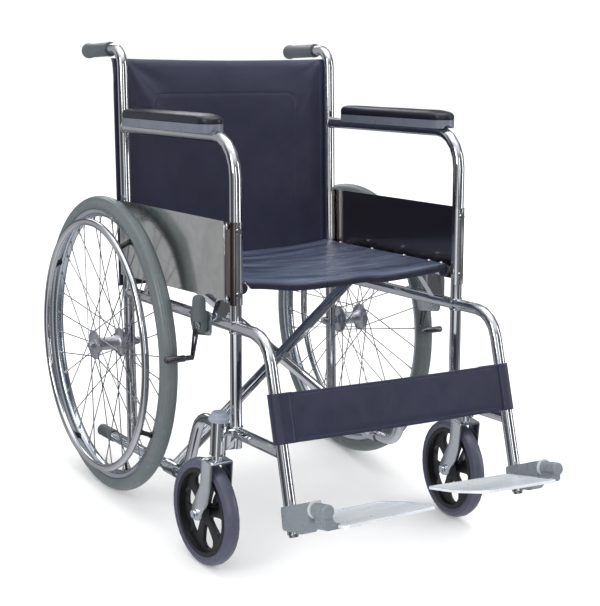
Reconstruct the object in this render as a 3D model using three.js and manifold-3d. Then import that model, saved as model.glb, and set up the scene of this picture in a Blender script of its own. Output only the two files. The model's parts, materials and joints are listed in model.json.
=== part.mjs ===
// Folding manual wheelchair. Millimetres, Z up, the occupant faces -Y and the floor is z = 0.
// right_ nodes are on the occupant's right, at -X, and left_ nodes mirror them at +X.
import * as THREE from 'three';
import { mergeVertices } from 'three/addons/utils/BufferGeometryUtils.js';
import Module from 'manifold-3d';

const wasm = await Module();
wasm.setup();

const RAD = Math.PI / 180;
const GAP = 0.3; // clearance between pieces that touch in the real chair
const RUNNING = 0.16; // added to a bore's radius so that its shaft turns in it

// side frames
const TUBE_R = 11;
const SIDE_X = 246; // plane of each side frame
const TILT = 6 * RAD; // the frame's front stands higher than its rear
const AXLE_Z = 303; // height of the rear axle, which the frame is tilted about
const ARM_Z = 743;
const SEAT_TUBE_Z = 407;
const LOWER_Z = 80;
const FRONT_RAIL_Z = 213;
const POST_Y = -458;
const GRIP_Z = 900;
const HANDLE_DROP = 1.5 * RAD; // the push handles droop towards their ends
const HANDLE_LENGTH = 164;
const HANGER_TOP = [-SIDE_X, -572, SEAT_TUBE_Z];
const HANGER_DIR = [0, -0.264, -0.9645];

// rear wheels
const WHEEL_X = 296.3;
const WHEEL_R = 303;
const WHEEL_SEGMENTS = 40;
const PEGS = { count: 4, first: 64 * RAD }; // they hold the push rim off the wheel's rim
const HANDRIM_X = 32.3; // outboard of the wheel's own plane
const HANDRIM_R = 251.8;
const HANDRIM_TUBE_R = 7.5;
const AXLE_R = 6;
const SPOKES = 36;

// castors
const STEM_X = 282;
const STEM_Y = -464;
const CASTOR_R = 101;
const TRAIL = 31;
const CASTOR_YAW = 4 * RAD; // the castors rest turned slightly outwards

// cross brace and seat
const RAIL_X = 224;
const RAIL_Z = 473;
const RAIL_REAR = -14;
const RAIL_FRONT = -444;
const BRACE_Y = { a: -197, b: -173 };
const SLEEVE_LENGTH = 44;

// foot supports, in a frame with its origin on the footplate's hinge line
const FOOT_Y = -700;
const FOOT_Z = 207.8;
const FOOT_TILT = 16 * RAD;
const PLATE_DROP = 22.5; // from the hinge line to the middle of the plate
const PLATE_RISE = 1.2 * RAD; // the plates rest with their inner ends a little higher
const BLOCK_FRONT = -45; // front face of the clamp block, where the barrel begins
const LUG_REACH = 22;
const LUG_SPAN = [-84, -52];
const PLATE_STAGGER = 4.8; // one plate is higher and one lower, so they pass when the chair folds

const steel = { color: 0xc9ccd0, roughness: 0.16, metalness: 1 };
const satin = { color: 0xb4b8bb, roughness: 0.38, metalness: 0.9 };
const zinc = { color: 0xa9adb2, roughness: 0.3, metalness: 1 };
const greyPlastic = { color: 0x7d8388, roughness: 0.55, metalness: 0 };
const greyTyre = { color: 0x7c8487, roughness: 0.7, metalness: 0 };
const castorRubber = { color: 0x57545f, roughness: 0.65, metalness: 0 };
const blackPlastic = { color: 0x17181a, roughness: 0.45, metalness: 0 };
const vinyl = { color: 0x26293a, roughness: 0.5, metalness: 0 };
const padVinyl = { color: 0x1b1c22, roughness: 0.45, metalness: 0 };
const stripGrey = { color: 0x8b9094, roughness: 0.4, metalness: 0.2 };
const aluminium = { color: 0xd0d4d8, roughness: 0.3, metalness: 0.9 };

// ---------- solids ----------

function toManifold(geometry) {
  const g = geometry.clone();
  for (const key of ['normal', 'uv']) g.deleteAttribute(key);
  const m = mergeVertices(g, 1e-4);
  return new wasm.Manifold(new wasm.Mesh({
    numProp: 3,
    vertProperties: new Float32Array(m.attributes.position.array),
    triVerts: new Uint32Array(m.index.array),
  }));
}

function fromManifold(solid) {
  const mesh = solid.getMesh();
  const g = new THREE.BufferGeometry();
  g.setAttribute('position', new THREE.BufferAttribute(new Float32Array(mesh.vertProperties), 3));
  g.setIndex(new THREE.BufferAttribute(new Uint32Array(mesh.triVerts), 1));
  return g;
}

const subtract = (g, ...tools) => fromManifold(
  tools.reduce((solid, tool) => solid.subtract(toManifold(tool)), toManifold(g)));
const union = (g, ...others) => fromManifold(
  others.reduce((solid, other) => solid.add(toManifold(other)), toManifold(g)));

function signedVolume(g) {
  const p = g.attributes.position;
  const index = g.index ? g.index.array : [...Array(p.count).keys()];
  const [a, b, c] = [new THREE.Vector3(), new THREE.Vector3(), new THREE.Vector3()];
  let volume = 0;
  for (let i = 0; i < index.length; i += 3) {
    a.fromBufferAttribute(p, index[i]);
    b.fromBufferAttribute(p, index[i + 1]);
    c.fromBufferAttribute(p, index[i + 2]);
    volume += a.dot(b.cross(c)) / 6;
  }
  return volume;
}

// Turns a closed surface so that its faces point outwards.
function outward(geometry) {
  const g = geometry.index ? geometry.toNonIndexed() : geometry;
  for (const key of ['normal', 'uv']) g.deleteAttribute(key);
  if (signedVolume(g) < 0) {
    const p = g.attributes.position.array;
    for (let i = 0; i < p.length; i += 9) {
      for (let k = 0; k < 3; k++) [p[i + 3 + k], p[i + 6 + k]] = [p[i + 6 + k], p[i + 3 + k]];
    }
  }
  return mergeVertices(g, 1e-4);
}

const moved = (g, x, y, z) => g.clone().translate(x, y, z);
const mirrored = (g) => outward(g.clone().scale(-1, 1, 1));

function box(x0, x1, y0, y1, z0, z1) {
  return outward(new THREE.BoxGeometry(x1 - x0, y1 - y0, z1 - z0)
    .translate((x0 + x1) / 2, (y0 + y1) / 2, (z0 + z1) / 2));
}

// Revolves [radius, position] points. The profile is closed by the axis or by its own first point.
function revolved(points, axis, segments) {
  const profile = points.map(([r, h]) => new THREE.Vector2(r, h));
  const g = new THREE.LatheGeometry(profile, segments);
  if (axis === 'x') g.rotateZ(-90 * RAD);
  if (axis === 'z') g.rotateX(90 * RAD);
  return outward(g);
}

const ring = (points, axis, segments) => revolved([...points, points[0]], axis, segments);

// Cylinder of radius r along an axis, from h0 to h1.
const rod = (axis, r, h0, h1, segments = 16) =>
  revolved([[0, h0], [r, h0], [r, h1], [0, h1]], axis, segments);

// Extrudes a closed outline. plane 'yz' runs along X, 'xz' along Y and 'xy' along Z.
function slab(outline, plane, from, to, holes = []) {
  const shape = new THREE.Shape(outline.map(([a, b]) => new THREE.Vector2(a, b)));
  for (const hole of holes) shape.holes.push(new THREE.Path(hole.map(([a, b]) => new THREE.Vector2(a, b))));
  const g = new THREE.ExtrudeGeometry(shape, { depth: to - from, bevelEnabled: false, curveSegments: 8 });
  g.translate(0, 0, from);
  const bases = {
    yz: [0, 0, 1, 1, 0, 0, 0, 1, 0],
    xz: [1, 0, 0, 0, 0, 1, 0, 1, 0],
    xy: [1, 0, 0, 0, 1, 0, 0, 0, 1],
  };
  const [a, b, c, d, e, f, h, i, j] = bases[plane];
  g.applyMatrix4(new THREE.Matrix4().set(a, b, c, 0, d, e, f, 0, h, i, j, 0, 0, 0, 0, 1));
  return outward(g);
}

// An outline's corners rounded with arcs of radius r, or of r[i] at corner i.
function rounded(outline, r, steps = 4) {
  return outline.flatMap((corner, i) => {
    const here = new THREE.Vector2(...corner);
    const radius = Array.isArray(r) ? r[i] : r;
    if (!radius) return [corner];
    const back = new THREE.Vector2(...outline.at(i - 1)).sub(here).normalize();
    const ahead = new THREE.Vector2(...outline[(i + 1) % outline.length]).sub(here).normalize();
    const half = Math.acos(back.dot(ahead)) / 2;
    const centre = back.clone().add(ahead).normalize().multiplyScalar(radius / Math.sin(half)).add(here);
    const start = back.clone().multiplyScalar(radius / Math.tan(half)).add(here).sub(centre);
    const turn = Math.sign(back.cross(ahead)) * (Math.PI - 2 * half);
    return Array.from({ length: steps + 1 }, (_, k) => {
      const p = start.clone().rotateAround(new THREE.Vector2(), (-turn * k) / steps).add(centre);
      return [p.x, p.y];
    });
  });
}

const circle = (cx, cy, r, count = 16, phase = 0) => Array.from({ length: count }, (_, k) => {
  const angle = phase + (k / count) * 2 * Math.PI;
  return [cx + r * Math.cos(angle), cy + r * Math.sin(angle)];
});

// A bent tube's centre line, with stations only at its ends and round its bends.
class TubePath extends THREE.Curve {
  constructor(corners, bend) {
    super();
    const points = corners.map((c) => new THREE.Vector3(...c));
    this.stations = [];
    points.forEach((point, i) => {
      const next = points[i + 1];
      const last = points[i - 1];
      if (!next || !last) {
        const along = (next ? next.clone().sub(point) : point.clone().sub(last)).normalize();
        this.stations.push([point, along]);
        return;
      }
      const into = point.clone().sub(last).normalize();
      const out = next.clone().sub(point).normalize();
      const turn = into.angleTo(out);
      const radius = Array.isArray(bend) ? bend[i - 1] : bend;
      const start = point.clone().addScaledVector(into, -radius * Math.tan(turn / 2));
      const axis = into.clone().cross(out).normalize();
      const inward = axis.clone().cross(into);
      const centre = start.clone().addScaledVector(inward, radius);
      const steps = Math.max(2, Math.round(turn / (18 * RAD)));
      for (let k = 0; k <= steps; k++) {
        const angle = (turn * k) / steps;
        const arm = start.clone().sub(centre).applyAxisAngle(axis, angle);
        this.stations.push([centre.clone().add(arm), into.clone().applyAxisAngle(axis, angle)]);
      }
    });
  }

  station(u) {
    return this.stations[Math.round(u * (this.stations.length - 1))];
  }

  getPoint(u, target = new THREE.Vector3()) { return target.copy(this.station(u)[0]); }
  getPointAt(u, target = new THREE.Vector3()) { return target.copy(this.station(u)[0]); }
  getTangent(u, target = new THREE.Vector3()) { return target.copy(this.station(u)[1]); }
  getTangentAt(u, target = new THREE.Vector3()) { return target.copy(this.station(u)[1]); }
}

function tube(corners, bend, r = TUBE_R, sides = 14) {
  const path = new TubePath(corners, bend);
  const shape = new THREE.Shape(circle(0, 0, r, sides).map(([a, b]) => new THREE.Vector2(a, b)));
  return outward(new THREE.ExtrudeGeometry(shape, {
    steps: path.stations.length - 1, extrudePath: path, bevelEnabled: false,
  }));
}

// A matrix that turns things about the X axis through (y, z), front upwards.
const pitch = (angle, y, z) => new THREE.Matrix4()
  .makeTranslation(0, y, z)
  .multiply(new THREE.Matrix4().makeRotationX(-angle))
  .multiply(new THREE.Matrix4().makeTranslation(0, -y, -z));
const inFrame = (g) => g.clone().applyMatrix4(pitch(TILT, 0, AXLE_Z));

// ---------- side frame, right side ----------

const caneY = (z) => 0.0277 * (z - AXLE_Z); // the back canes lean back a little
const hangerAt = (distance) => HANGER_TOP.map((v, i) => v + HANGER_DIR[i] * distance);
const handleAt = (distance) => [-SIDE_X, caneY(GRIP_Z) + distance * Math.cos(HANDLE_DROP),
  GRIP_Z - distance * Math.sin(HANDLE_DROP)];
const PATHS = {
  cane: [[[-SIDE_X, caneY(LOWER_Z), LOWER_Z], handleAt(0), handleAt(HANDLE_LENGTH)], 36],
  arm: [[[-SIDE_X, caneY(ARM_Z), ARM_Z], [-SIDE_X, POST_Y, ARM_Z], [-SIDE_X, POST_Y, SEAT_TUBE_Z]], 70],
  seat: [[[-SIDE_X, caneY(SEAT_TUBE_Z), SEAT_TUBE_Z], HANGER_TOP, hangerAt(338)], 60],
  lower: [[[-SIDE_X, 148, LOWER_Z], [-SIDE_X, -256, LOWER_Z], [-SIDE_X, -317, FRONT_RAIL_Z],
    [-SIDE_X, -620, FRONT_RAIL_Z]], [46, 46]],
  post: [[[-SIDE_X, POST_Y, SEAT_TUBE_Z], [-SIDE_X, POST_Y, 184]], 0],
};
const frameTube = (key, extra = 0) => inFrame(tube(PATHS[key][0], PATHS[key][1], TUBE_R + extra));
const guard = Object.fromEntries(Object.keys(PATHS).map((key) => [key, frameTube(key, GAP)]));

function backCane() {
  const bore = moved(rod('x', AXLE_R + GAP, -SIDE_X - 20, -SIDE_X + 20, 12), 0, 0, AXLE_Z);
  return subtract(frameTube('cane'), guard.lower, bore);
}

function armTube() {
  return subtract(frameTube('arm'), guard.cane, guard.seat);
}

// The main side tube and the hanger in one bend, with two saddles that the seat rail rests in.
function seatTube() {
  const saddle = (y) => slab(
    [[-253, 409], [-240, 409], [-206, 456], [-206, 466], [-237, 466], [-253, 425]], 'xz', y - 9, y + 9);
  const saddles = [-96, -392].map((y) => inFrame(saddle(y)));
  const railBed = inFrame(moved(rod('y', TUBE_R + GAP, -460, 0), -RAIL_X, 0, RAIL_Z));
  return subtract(union(frameTube('seat'), ...saddles), guard.cane, railBed);
}

function lowerFrame() {
  return subtract(union(frameTube('lower'), frameTube('post')), guard.seat);
}

function railTip() {
  const outer = revolved([[0, 155], [9, 155], [13, 151], [13, 88], [0, 88]], 'y', 16);
  const bore = rod('y', TUBE_R + GAP, 0, 148 + GAP);
  return inFrame(moved(subtract(outer, bore), -SIDE_X, 0, LOWER_Z));
}

function handleGrip() {
  const outline = [[0, 173], [13.4, 173], [15.8, 170.5], [15.8, 163], [14.3, 158], [14.3, 66], [15, 64],
    [15, 56], [0, 56]];
  const bore = rod('y', TUBE_R + GAP, 0, HANDLE_LENGTH + GAP);
  const grip = subtract(revolved(outline, 'y', 16), bore).rotateX(-HANDLE_DROP);
  return inFrame(moved(grip, ...handleAt(0)));
}

// A thin skirt plate outside the tubes, rolled round the front post, with four domed screws.
function sidePanel() {
  const outer = -SIDE_X - TUBE_R - 1.8;
  const inner = outer + 1.5;
  const profile = (r, from, to) => Array.from({ length: 9 }, (_, k) => {
    const angle = from + ((to - from) * k) / 8;
    return [-SIDE_X + r * Math.cos(angle), POST_Y + r * Math.sin(angle)];
  });
  const around = [...profile(-SIDE_X - outer, 180 * RAD, 330 * RAD),
    ...profile(-SIDE_X - inner, 330 * RAD, 180 * RAD)];
  const roll = slab(around, 'xy', 447, 596);
  const plate = slab([[POST_Y, 454], [9, 442], [13, 446], [13, 590], [8, 596], [POST_Y, 596]],
    'yz', outer, inner);
  const hem = (z) => box(outer - 1.4, inner, POST_Y + 14, 7, z, z + 5);
  const screw = (y, z) => moved(rod('x', 5, outer - 2.6, inner, 10), 0, y, z);
  const clamp = (z) => moved(rod('y', 5.5, -3.6, 0.2, 10), -SIDE_X, POST_Y - TUBE_R - 0.6, z);
  return inFrame(union(roll, plate, hem(591), screw(3, 575), screw(1, 465), clamp(580), clamp(466)));
}

// The arm pads are screwed on by eye, so the left one sits further forward.
const PAD = { rear: -30, front: -384, half: 26, leftForward: 38 };

function armPadBase(forward) {
  const [half, front, rear] = [PAD.half, PAD.front, PAD.rear];
  const corners = [[-half, front], [half, front], [half, rear], [-half, rear]];
  const outline = rounded(corners, [24, 24, 10, 10]).map(([x, y]) => [x - SIDE_X, y - forward]);
  const groove = union(box(-SIDE_X - TUBE_R - GAP, -SIDE_X + TUBE_R + GAP, -460, 20, ARM_Z - 20, ARM_Z),
    moved(rod('y', TUBE_R + GAP, -460, 20), -SIDE_X, 0, ARM_Z));
  return inFrame(subtract(slab(outline, 'xy', ARM_Z + 5, ARM_Z + 21), groove));
}

function armPad(forward) {
  const size = (inset) => rounded(
    [[-PAD.half + inset, PAD.front + inset], [PAD.half - inset, PAD.front + inset],
      [PAD.half - inset, PAD.rear - inset], [-PAD.half + inset, PAD.rear - inset]],
    [24 - inset, 24 - inset, 10 - inset / 2, 10 - inset / 2]).map(([x, y]) => [x - SIDE_X, y - forward]);
  const bottom = ARM_Z + 21 + GAP;
  const levels = [[0.6, 0], [0, 3], [0, 12], [2.2, 16.5], [7, 18.5]];
  return inFrame(stacked(levels.map(([inset, rise]) => size(inset).map(([x, y]) => [x, y, bottom + rise]))));
}

// A closed solid through matching loops of points, one above the other.
function stacked(loops) {
  const n = loops[0].length;
  const points = loops.flat();
  const faces = [];
  for (let level = 0; level < loops.length - 1; level++) {
    for (let i = 0; i < n; i++) {
      const [a, b] = [level * n + i, level * n + ((i + 1) % n)];
      faces.push([a, b, b + n], [a, b + n, a + n]);
    }
  }
  const flat = loops[0].map(([x, y]) => new THREE.Vector2(x, y));
  for (const [a, b, c] of THREE.ShapeUtils.triangulateShape(flat, [])) {
    const top = (loops.length - 1) * n;
    faces.push([c, b, a], [a + top, b + top, c + top]);
  }
  const g = new THREE.BufferGeometry();
  g.setAttribute('position', new THREE.Float32BufferAttribute(points.flat(), 3));
  g.setIndex(faces.flat());
  return outward(g);
}

// ---------- rear wheel, right side ----------

const onWheel = (g) => moved(g, -WHEEL_X, 0, AXLE_Z);

function tyre() {
  const half = [[276.7, 9.2], [277.6, 13.6], [286, 17], [296, 13.6], [WHEEL_R, 4]];
  const profile = [...half, ...half.map(([r, x]) => [r, -x]).reverse()];
  return onWheel(ring(profile, 'x', WHEEL_SEGMENTS));
}

const rimProfile = (extra) => {
  const half = [[276.2 + extra, 12.2 + extra], [268 - extra, 12.2 + extra], [261.5 - extra, 5 + extra]];
  return [...half, ...half.map(([r, x]) => [r, -x]).reverse()];
};

function rim() {
  return onWheel(ring(rimProfile(0), 'x', WHEEL_SEGMENTS));
}

function rodBetween(from, to, r, sides) {
  return tube([from, to], 0, r, sides);
}

// Hub shell with laced spokes. Spokes leave each flange on its inner and outer face in turn.
function wheelHub() {
  const shell = subtract(
    revolved([[0, -32], [15, -32], [30, -30.5], [30, -26], [15, -22], [15, 22], [30, 26], [30, 30.5],
      [15, 32], [0, 32]], 'x', 20),
    rod('x', AXLE_R + RUNNING, -40, 40));
  const spokes = Array.from({ length: SPOKES }, (_, i) => {
    const flange = i % 2 ? 1 : -1;
    const lean = Math.floor(i / 2) % 2 ? 1 : -1;
    const at = (i / SPOKES) * 360 * RAD;
    const start = at + lean * 58 * RAD;
    const from = [flange * (28.3 + lean * 1.5), 26.5 * Math.sin(start), 26.5 * Math.cos(start)];
    return rodBetween(from, [flange * 2.5, 260.4 * Math.sin(at), 260.4 * Math.cos(at)], 1.3, 3);
  });
  return onWheel(union(shell, ...spokes));
}

// The push rim and its pegs.
function handrim() {
  const loop = ring(circle(HANDRIM_R, -HANDRIM_X, HANDRIM_TUBE_R, 8), 'x', WHEEL_SEGMENTS);
  const pegs = Array.from({ length: PEGS.count }, (_, i) => {
    const angle = PEGS.first + (i / PEGS.count) * 360 * RAD;
    const at = (x, r) => [x, r * Math.sin(angle), r * Math.cos(angle)];
    return rodBetween(at(-4, 270), at(-HANDRIM_X + 4, HANDRIM_R + 2), 5, 5);
  });
  return onWheel(subtract(union(loop, ...pegs), ring(rimProfile(0.5), 'x', WHEEL_SEGMENTS)));
}

function wheelAxle() {
  const x = (fromHub) => -WHEEL_X + fromHub;
  const nut = (a, b, r) => revolved([[0, a], [r, a], [r, b], [0, b]], 'x', 6);
  const collar = rod('x', 9, x(32.4), -SIDE_X - TUBE_R - 0.6, 12);
  const parts = [nut(-SIDE_X + TUBE_R + 0.6, -SIDE_X + TUBE_R + 8, 9), collar, nut(x(-38), x(-32.4), 9)];
  return moved(union(rod('x', AXLE_R, x(-41), -SIDE_X + TUBE_R + 12), ...parts), 0, 0, AXLE_Z);
}

// ---------- castor, right side ----------

const onStem = (g) => moved(g, -STEM_X, STEM_Y, 0);
const onCastor = (g) => onStem(moved(g, 0, TRAIL, CASTOR_R).rotateZ(CASTOR_YAW));

// Barrel for the castor stem, with the two plates that join it to the frame.
function castorHousing() {
  const barrel = revolved([[0, 224], [15.4, 224], [14.4, 229], [14.4, 288], [0, 288]], 'z', 16);
  const plate = (y) => box(0, STEM_X - SIDE_X, y - 2.5, y + 2.5, 233, 272);
  const web = box(0, STEM_X - SIDE_X, -8, 8, 250, 256);
  const solid = onStem(union(barrel, plate(-8), plate(8), web));
  const bore = onStem(rod('z', AXLE_R + RUNNING, 200, 300));
  return subtract(solid, bore, guard.post, guard.lower);
}

function housingCap() {
  return onStem(revolved([[0, 288 + GAP], [19.2, 288 + GAP], [19.8, 290.5], [19.2, 296.5], [15.6, 298],
    [14.8, 302], [12, 304.8], [0, 306]], 'z', 16));
}

// Pressed fork: crown, two legs that sweep back to the axle, and the stem.
function castorFork() {
  const leg = (side) => {
    const outline = rounded([[-17, 213], [-17, 148], [TRAIL - 14, 92], [TRAIL + 1, 87], [TRAIL + 13, 97],
      [TRAIL + 10, 116], [17, 162], [17, 213]], [3, 70, 8, 9, 9, 10, 50, 3], 4);
    return slab(outline, 'yz', side > 0 ? 20.5 : -23.5, side > 0 ? 23.5 : -20.5);
  };
  const section = rounded([[-23.5, 204], [23.5, 204], [23.5, 214], [-23.5, 214]], [0, 0, 6, 6], 3);
  const crown = slab(section, 'xz', -17, 17);
  const hollow = box(-20.5, 20.5, -40, 40, 190, 209.5);
  const stem = revolved([[0, 210], [9.6, 210], [9.6, 223], [AXLE_R, 223.6], [AXLE_R, 276], [0, 276]], 'z', 16);
  const hole = moved(rod('x', 4 + GAP, -40, 40, 12), 0, TRAIL, CASTOR_R);
  const whole = subtract(union(leg(1), leg(-1), subtract(crown, hollow), stem), hole);
  return onStem(whole.rotateZ(CASTOR_YAW));
}

function castorTyre() {
  const half = [[84, 12.6], [90, 15.2], [97.5, 12], [CASTOR_R, 4]];
  return onCastor(ring([...half, ...half.map(([r, x]) => [r, -x]).reverse()], 'x', 32));
}

// Moulded centre with six teardrop openings.
function castorCore() {
  const felloe = ring([[75, 12.6], [83.6, 12.6], [83.6, -12.6], [75, -12.6]], 'x', 32);
  const web = rod('x', 78, -3.5, 3.5, 32);
  const boss = revolved([[0, -18.5], [11, -18.5], [18, -3], [18, 3], [11, 18.5], [0, 18.5]], 'x', 16);
  const teardrop = (k) => {
    const angle = (41 + k * 60) * RAD;
    const outline = [...circle(0, 54, 17.5, 12).slice(0, 7), [-9.5, 35], [-3.5, 24], [3.5, 24], [9.5, 35]];
    return slab(outline, 'yz', -20, 20).rotateX(angle);
  };
  const openings = [0, 1, 2, 3, 4, 5].map(teardrop);
  const disc = subtract(web, ...openings);
  return onCastor(subtract(union(disc, felloe, boss), rod('x', 4 + RUNNING, -40, 40, 12)));
}

function castorAxle() {
  const profile = [[0, -29.5], [7.5, -29.5], [7.5, -23.9], [4, -23.9], [4, 23.9], [7.5, 23.9], [7.5, 29.5],
    [0, 29.5]];
  return onCastor(revolved(profile, 'x', 12));
}

// ---------- foot support, right side ----------

const atFoot = (g) => moved(g, -SIDE_X, FOOT_Y, FOOT_Z).applyMatrix4(pitch(FOOT_TILT, FOOT_Y, FOOT_Z));

// Clamp block on the foot of the hanger, with the pin that the footplate's barrel turns on.
function footBracket() {
  const outline = rounded([[47, -43], [-20, -43], [BLOCK_FRONT, -20], [BLOCK_FRONT, 14], [8, 4], [47, -3]],
    [6, 12, 10, 4, 30, 5], 3);
  const pin = rod('y', AXLE_R, -81, BLOCK_FRONT + 7);
  return subtract(atFoot(union(slab(outline, 'yz', -13.6, 13.6), pin)), guard.seat);
}

// Barrel that turns on the bracket's pin, with the lug under it that carries the plate.
function footHinge(drop) {
  const collar = BLOCK_FRONT - 0.4;
  const barrel = revolved([[0, -89], [9.5, -89], [12, -86.5], [12, collar - 4.6], [14.5, collar - 4.6],
    [14.5, collar], [0, collar]], 'y', 16);
  const lug = slab([[-7, 0], [-7, -drop - 1], [-3, -drop - 4.5], [LUG_REACH, -drop - 4.5],
    [LUG_REACH, -drop + 4], [13, -drop + 4], [8, -6], [8, 0]], 'xz', ...LUG_SPAN);
  const bore = rod('y', AXLE_R + RUNNING, -82, -20);
  return atFoot(subtract(union(barrel, lug), bore).rotateY(-PLATE_RISE));
}

// Cast plate with a raised border and one corner cut away. Both plates are the same casting, so the cut is at
// the inner rear of the right one and at the inner front of the left one.
function footplate(drop, side) {
  const [x0, x1, half, middle] = [17, 205, 70, -34];
  const outline = rounded([[x0, -half], [x1, -half], [x1, half - 56], [x1 - 26, half], [x0, half]],
    [10, 9, 30, 26, 10], 3).map(([x, y]) => [x, middle - side * y]);
  const centre = [(x0 + x1) / 2, middle];
  const border = ([x, y]) => [centre[0] + (x - centre[0]) * 0.93, centre[1] + (y - centre[1]) * 0.915];
  const inner = outline.map(border);
  const plate = slab(outline, 'xy', -drop - 2.5, -drop + 2.5);
  const tray = slab(inner, 'xy', -drop + 1.2, -drop + 10);
  const notch = box(0, LUG_REACH + GAP, LUG_SPAN[0] - GAP, LUG_SPAN[1] + GAP, -drop - 9, -drop + 9);
  return atFoot(subtract(plate, tray, notch).rotateY(-PLATE_RISE));
}

// ---------- brake, right side ----------

const BRAKE = { shoe: [-338, 392], lever: [-364, 396], rod: [-316, 327] };
const plateFace = -SIDE_X - TUBE_R - 0.4;

function brakeBracket() {
  const outline = rounded([[-388, 380], [-318, 372], [-306, 398], [-312, 424], [-388, 424]],
    [8, 8, 8, 6, 6], 3);
  const plate = slab(outline, 'yz', plateFace - 3, plateFace);
  const pin = ([y, z], reach) => {
    const head = plateFace - reach;
    return moved(revolved([[0, plateFace - 2], [4, plateFace - 2], [4, head], [7, head], [7, head - 2.4],
      [0, head - 2.4]], 'x', 12), 0, y, z);
  };
  return inFrame(union(plate, pin(BRAKE.shoe, 6.8), pin(BRAKE.lever, 14.3)));
}

// A link that swings a cross rod against the front of the tyre.
function brakeShoe() {
  const [py, pz] = BRAKE.shoe;
  const [ry, rz] = BRAKE.rod;
  const across = new THREE.Vector2(ry - py, rz - pz).normalize().rotateAround(new THREE.Vector2(), 90 * RAD);
  const side = (r) => [across.x * r, across.y * r];
  const [a, b] = [side(11), side(5.5)];
  const outline = rounded([[py + a[0], pz + a[1] + 8], [ry + b[0], rz + b[1] - 3], [ry - b[0], rz - b[1] - 3],
    [py - a[0], pz - a[1] + 8]], [9, 5, 5, 9], 3);
  const link = slab(outline, 'yz', plateFace - 6.4, plateFace - 3.4);
  const slot = slab(
    rounded([[py + 12, pz - 20], [ry - 3, rz + 14], [ry - 6, rz + 12], [py + 5, pz - 22]], 1, 1),
    'yz', plateFace - 20, plateFace);
  const bar = moved(rod('x', 5, -318, plateFace - 3.4), 0, ry, rz);
  const sleeve = moved(rod('x', 6.5, -316, -278), 0, ry, rz);
  const hole = moved(rod('x', 4 + RUNNING, -300, -240, 12), 0, py, pz);
  return inFrame(subtract(union(subtract(link, slot), bar, sleeve), hole));
}

function brakeLever() {
  const [y, z] = BRAKE.lever;
  const x = plateFace - 3.4;
  const arm = slab(
    rounded([[y - 11, z - 13], [y + 9, z - 13], [y + 10, z + 30], [y - 11, z + 30]], [8, 8, 4, 4], 3),
    'yz', x - 10.4, x);
  const levels = [[0, 9], [1.5, 13], [1.5, 44], [0, 53], [-4, 57]];
  const knob = stacked(levels.map(([grow, rise]) => rounded(
    [[x - 17 - grow, y - 12 - grow], [x + 1 + grow, y - 12 - grow], [x + 1 + grow, y + 11 + grow],
      [x - 17 - grow, y + 11 + grow]], 6 + grow, 3).map(([a, b]) => [a - 3, b, z + rise])));
  const hole = moved(rod('x', 4 + RUNNING, -300, -240, 12), 0, y, z);
  return inFrame(subtract(union(arm, knob), hole));
}

// ---------- cross brace, seat and cloth ----------

// One leg of the cross: a sleeve on its lower rail, a tube and the seat rail at its upper end.
// toward is +1 for the leg that rises to +X.
function braceLeg(key, toward) {
  const y = BRACE_Y[key];
  const foot = [-toward * SIDE_X, y, LOWER_Z];
  const head = [toward * RAIL_X, y, RAIL_Z];
  const sleeve = moved(rod('y', 14.5, -SLEEVE_LENGTH / 2, SLEEVE_LENGTH / 2), ...foot);
  const rail = moved(rod('y', TUBE_R, RAIL_FRONT, RAIL_REAR, 14), head[0], 0, RAIL_Z);
  const leg = tube([foot, head], 0);
  const bore = moved(rod('y', TUBE_R + GAP, -60, 60), ...foot);
  const pivot = moved(rod('y', 4 + RUNNING, -60, 60, 12), 0, y, PIVOT_Z);
  return inFrame(subtract(union(sleeve, leg, rail), bore, pivot));
}

const PIVOT_Z = LOWER_Z + ((RAIL_Z - LOWER_Z) * SIDE_X) / (SIDE_X + RAIL_X);

function bracePivot() {
  const [front, rear] = [BRACE_Y.a - TUBE_R - GAP, BRACE_Y.b + TUBE_R + GAP];
  const middle = (BRACE_Y.a + BRACE_Y.b) / 2;
  const profile = [[0, front - 6], [7, front - 6], [8, front - 4], [8, front], [4, front],
    [4, middle - 0.7], [9, middle - 0.7], [9, middle + 0.7], [4, middle + 0.7], [4, rear], [8, rear],
    [8, rear + 6], [4, rear + 6], [4, rear + 9], [0, rear + 9]];
  return inFrame(moved(revolved(profile, 'y', 12), 0, 0, PIVOT_Z));
}

// Vinyl seat: it laps over the outside of both rails and dips between them.
function seatSling() {
  const thick = 3;
  const top = [];
  const under = [];
  const lap = TUBE_R + GAP;
  for (let k = 0; k <= 5; k++) {
    const angle = (180 - 18 * k) * RAD;
    top.push([-RAIL_X + (lap + thick) * Math.cos(angle), RAIL_Z + (lap + thick) * Math.sin(angle)]);
    under.push([-RAIL_X + lap * Math.cos(angle), RAIL_Z + lap * Math.sin(angle)]);
  }
  const dip = (x) => -11 * (1 - (x / RAIL_X) ** 2);
  for (const x of [-180, -120, -60, 0]) {
    top.push([x, RAIL_Z + lap + thick + dip(x)]);
    under.push([x, RAIL_Z + lap + dip(x)]);
  }
  const flip = (points) => points.slice(0, -1).reverse().map(([x, z]) => [-x, z]);
  const outline = [...top, ...flip(top), ...[...under, ...flip(under)].reverse()];
  return inFrame(slab(outline, 'xz', RAIL_FRONT + 1, RAIL_REAR + 8));
}

// Vinyl back between the canes, screwed to their rear side.
function backSling() {
  const y = (z) => caneY(z) + TUBE_R + GAP;
  const [low, high] = [418, 880];
  const outline = [[y(low), low], [y(low) + 3, low], [y(high) + 3, high], [y(high), high]];
  const sheet = slab(outline, 'yz', -SIDE_X - 15, SIDE_X + 15);
  return subtract(inFrame(sheet), guard.cane, mirrored(guard.cane));
}

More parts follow.
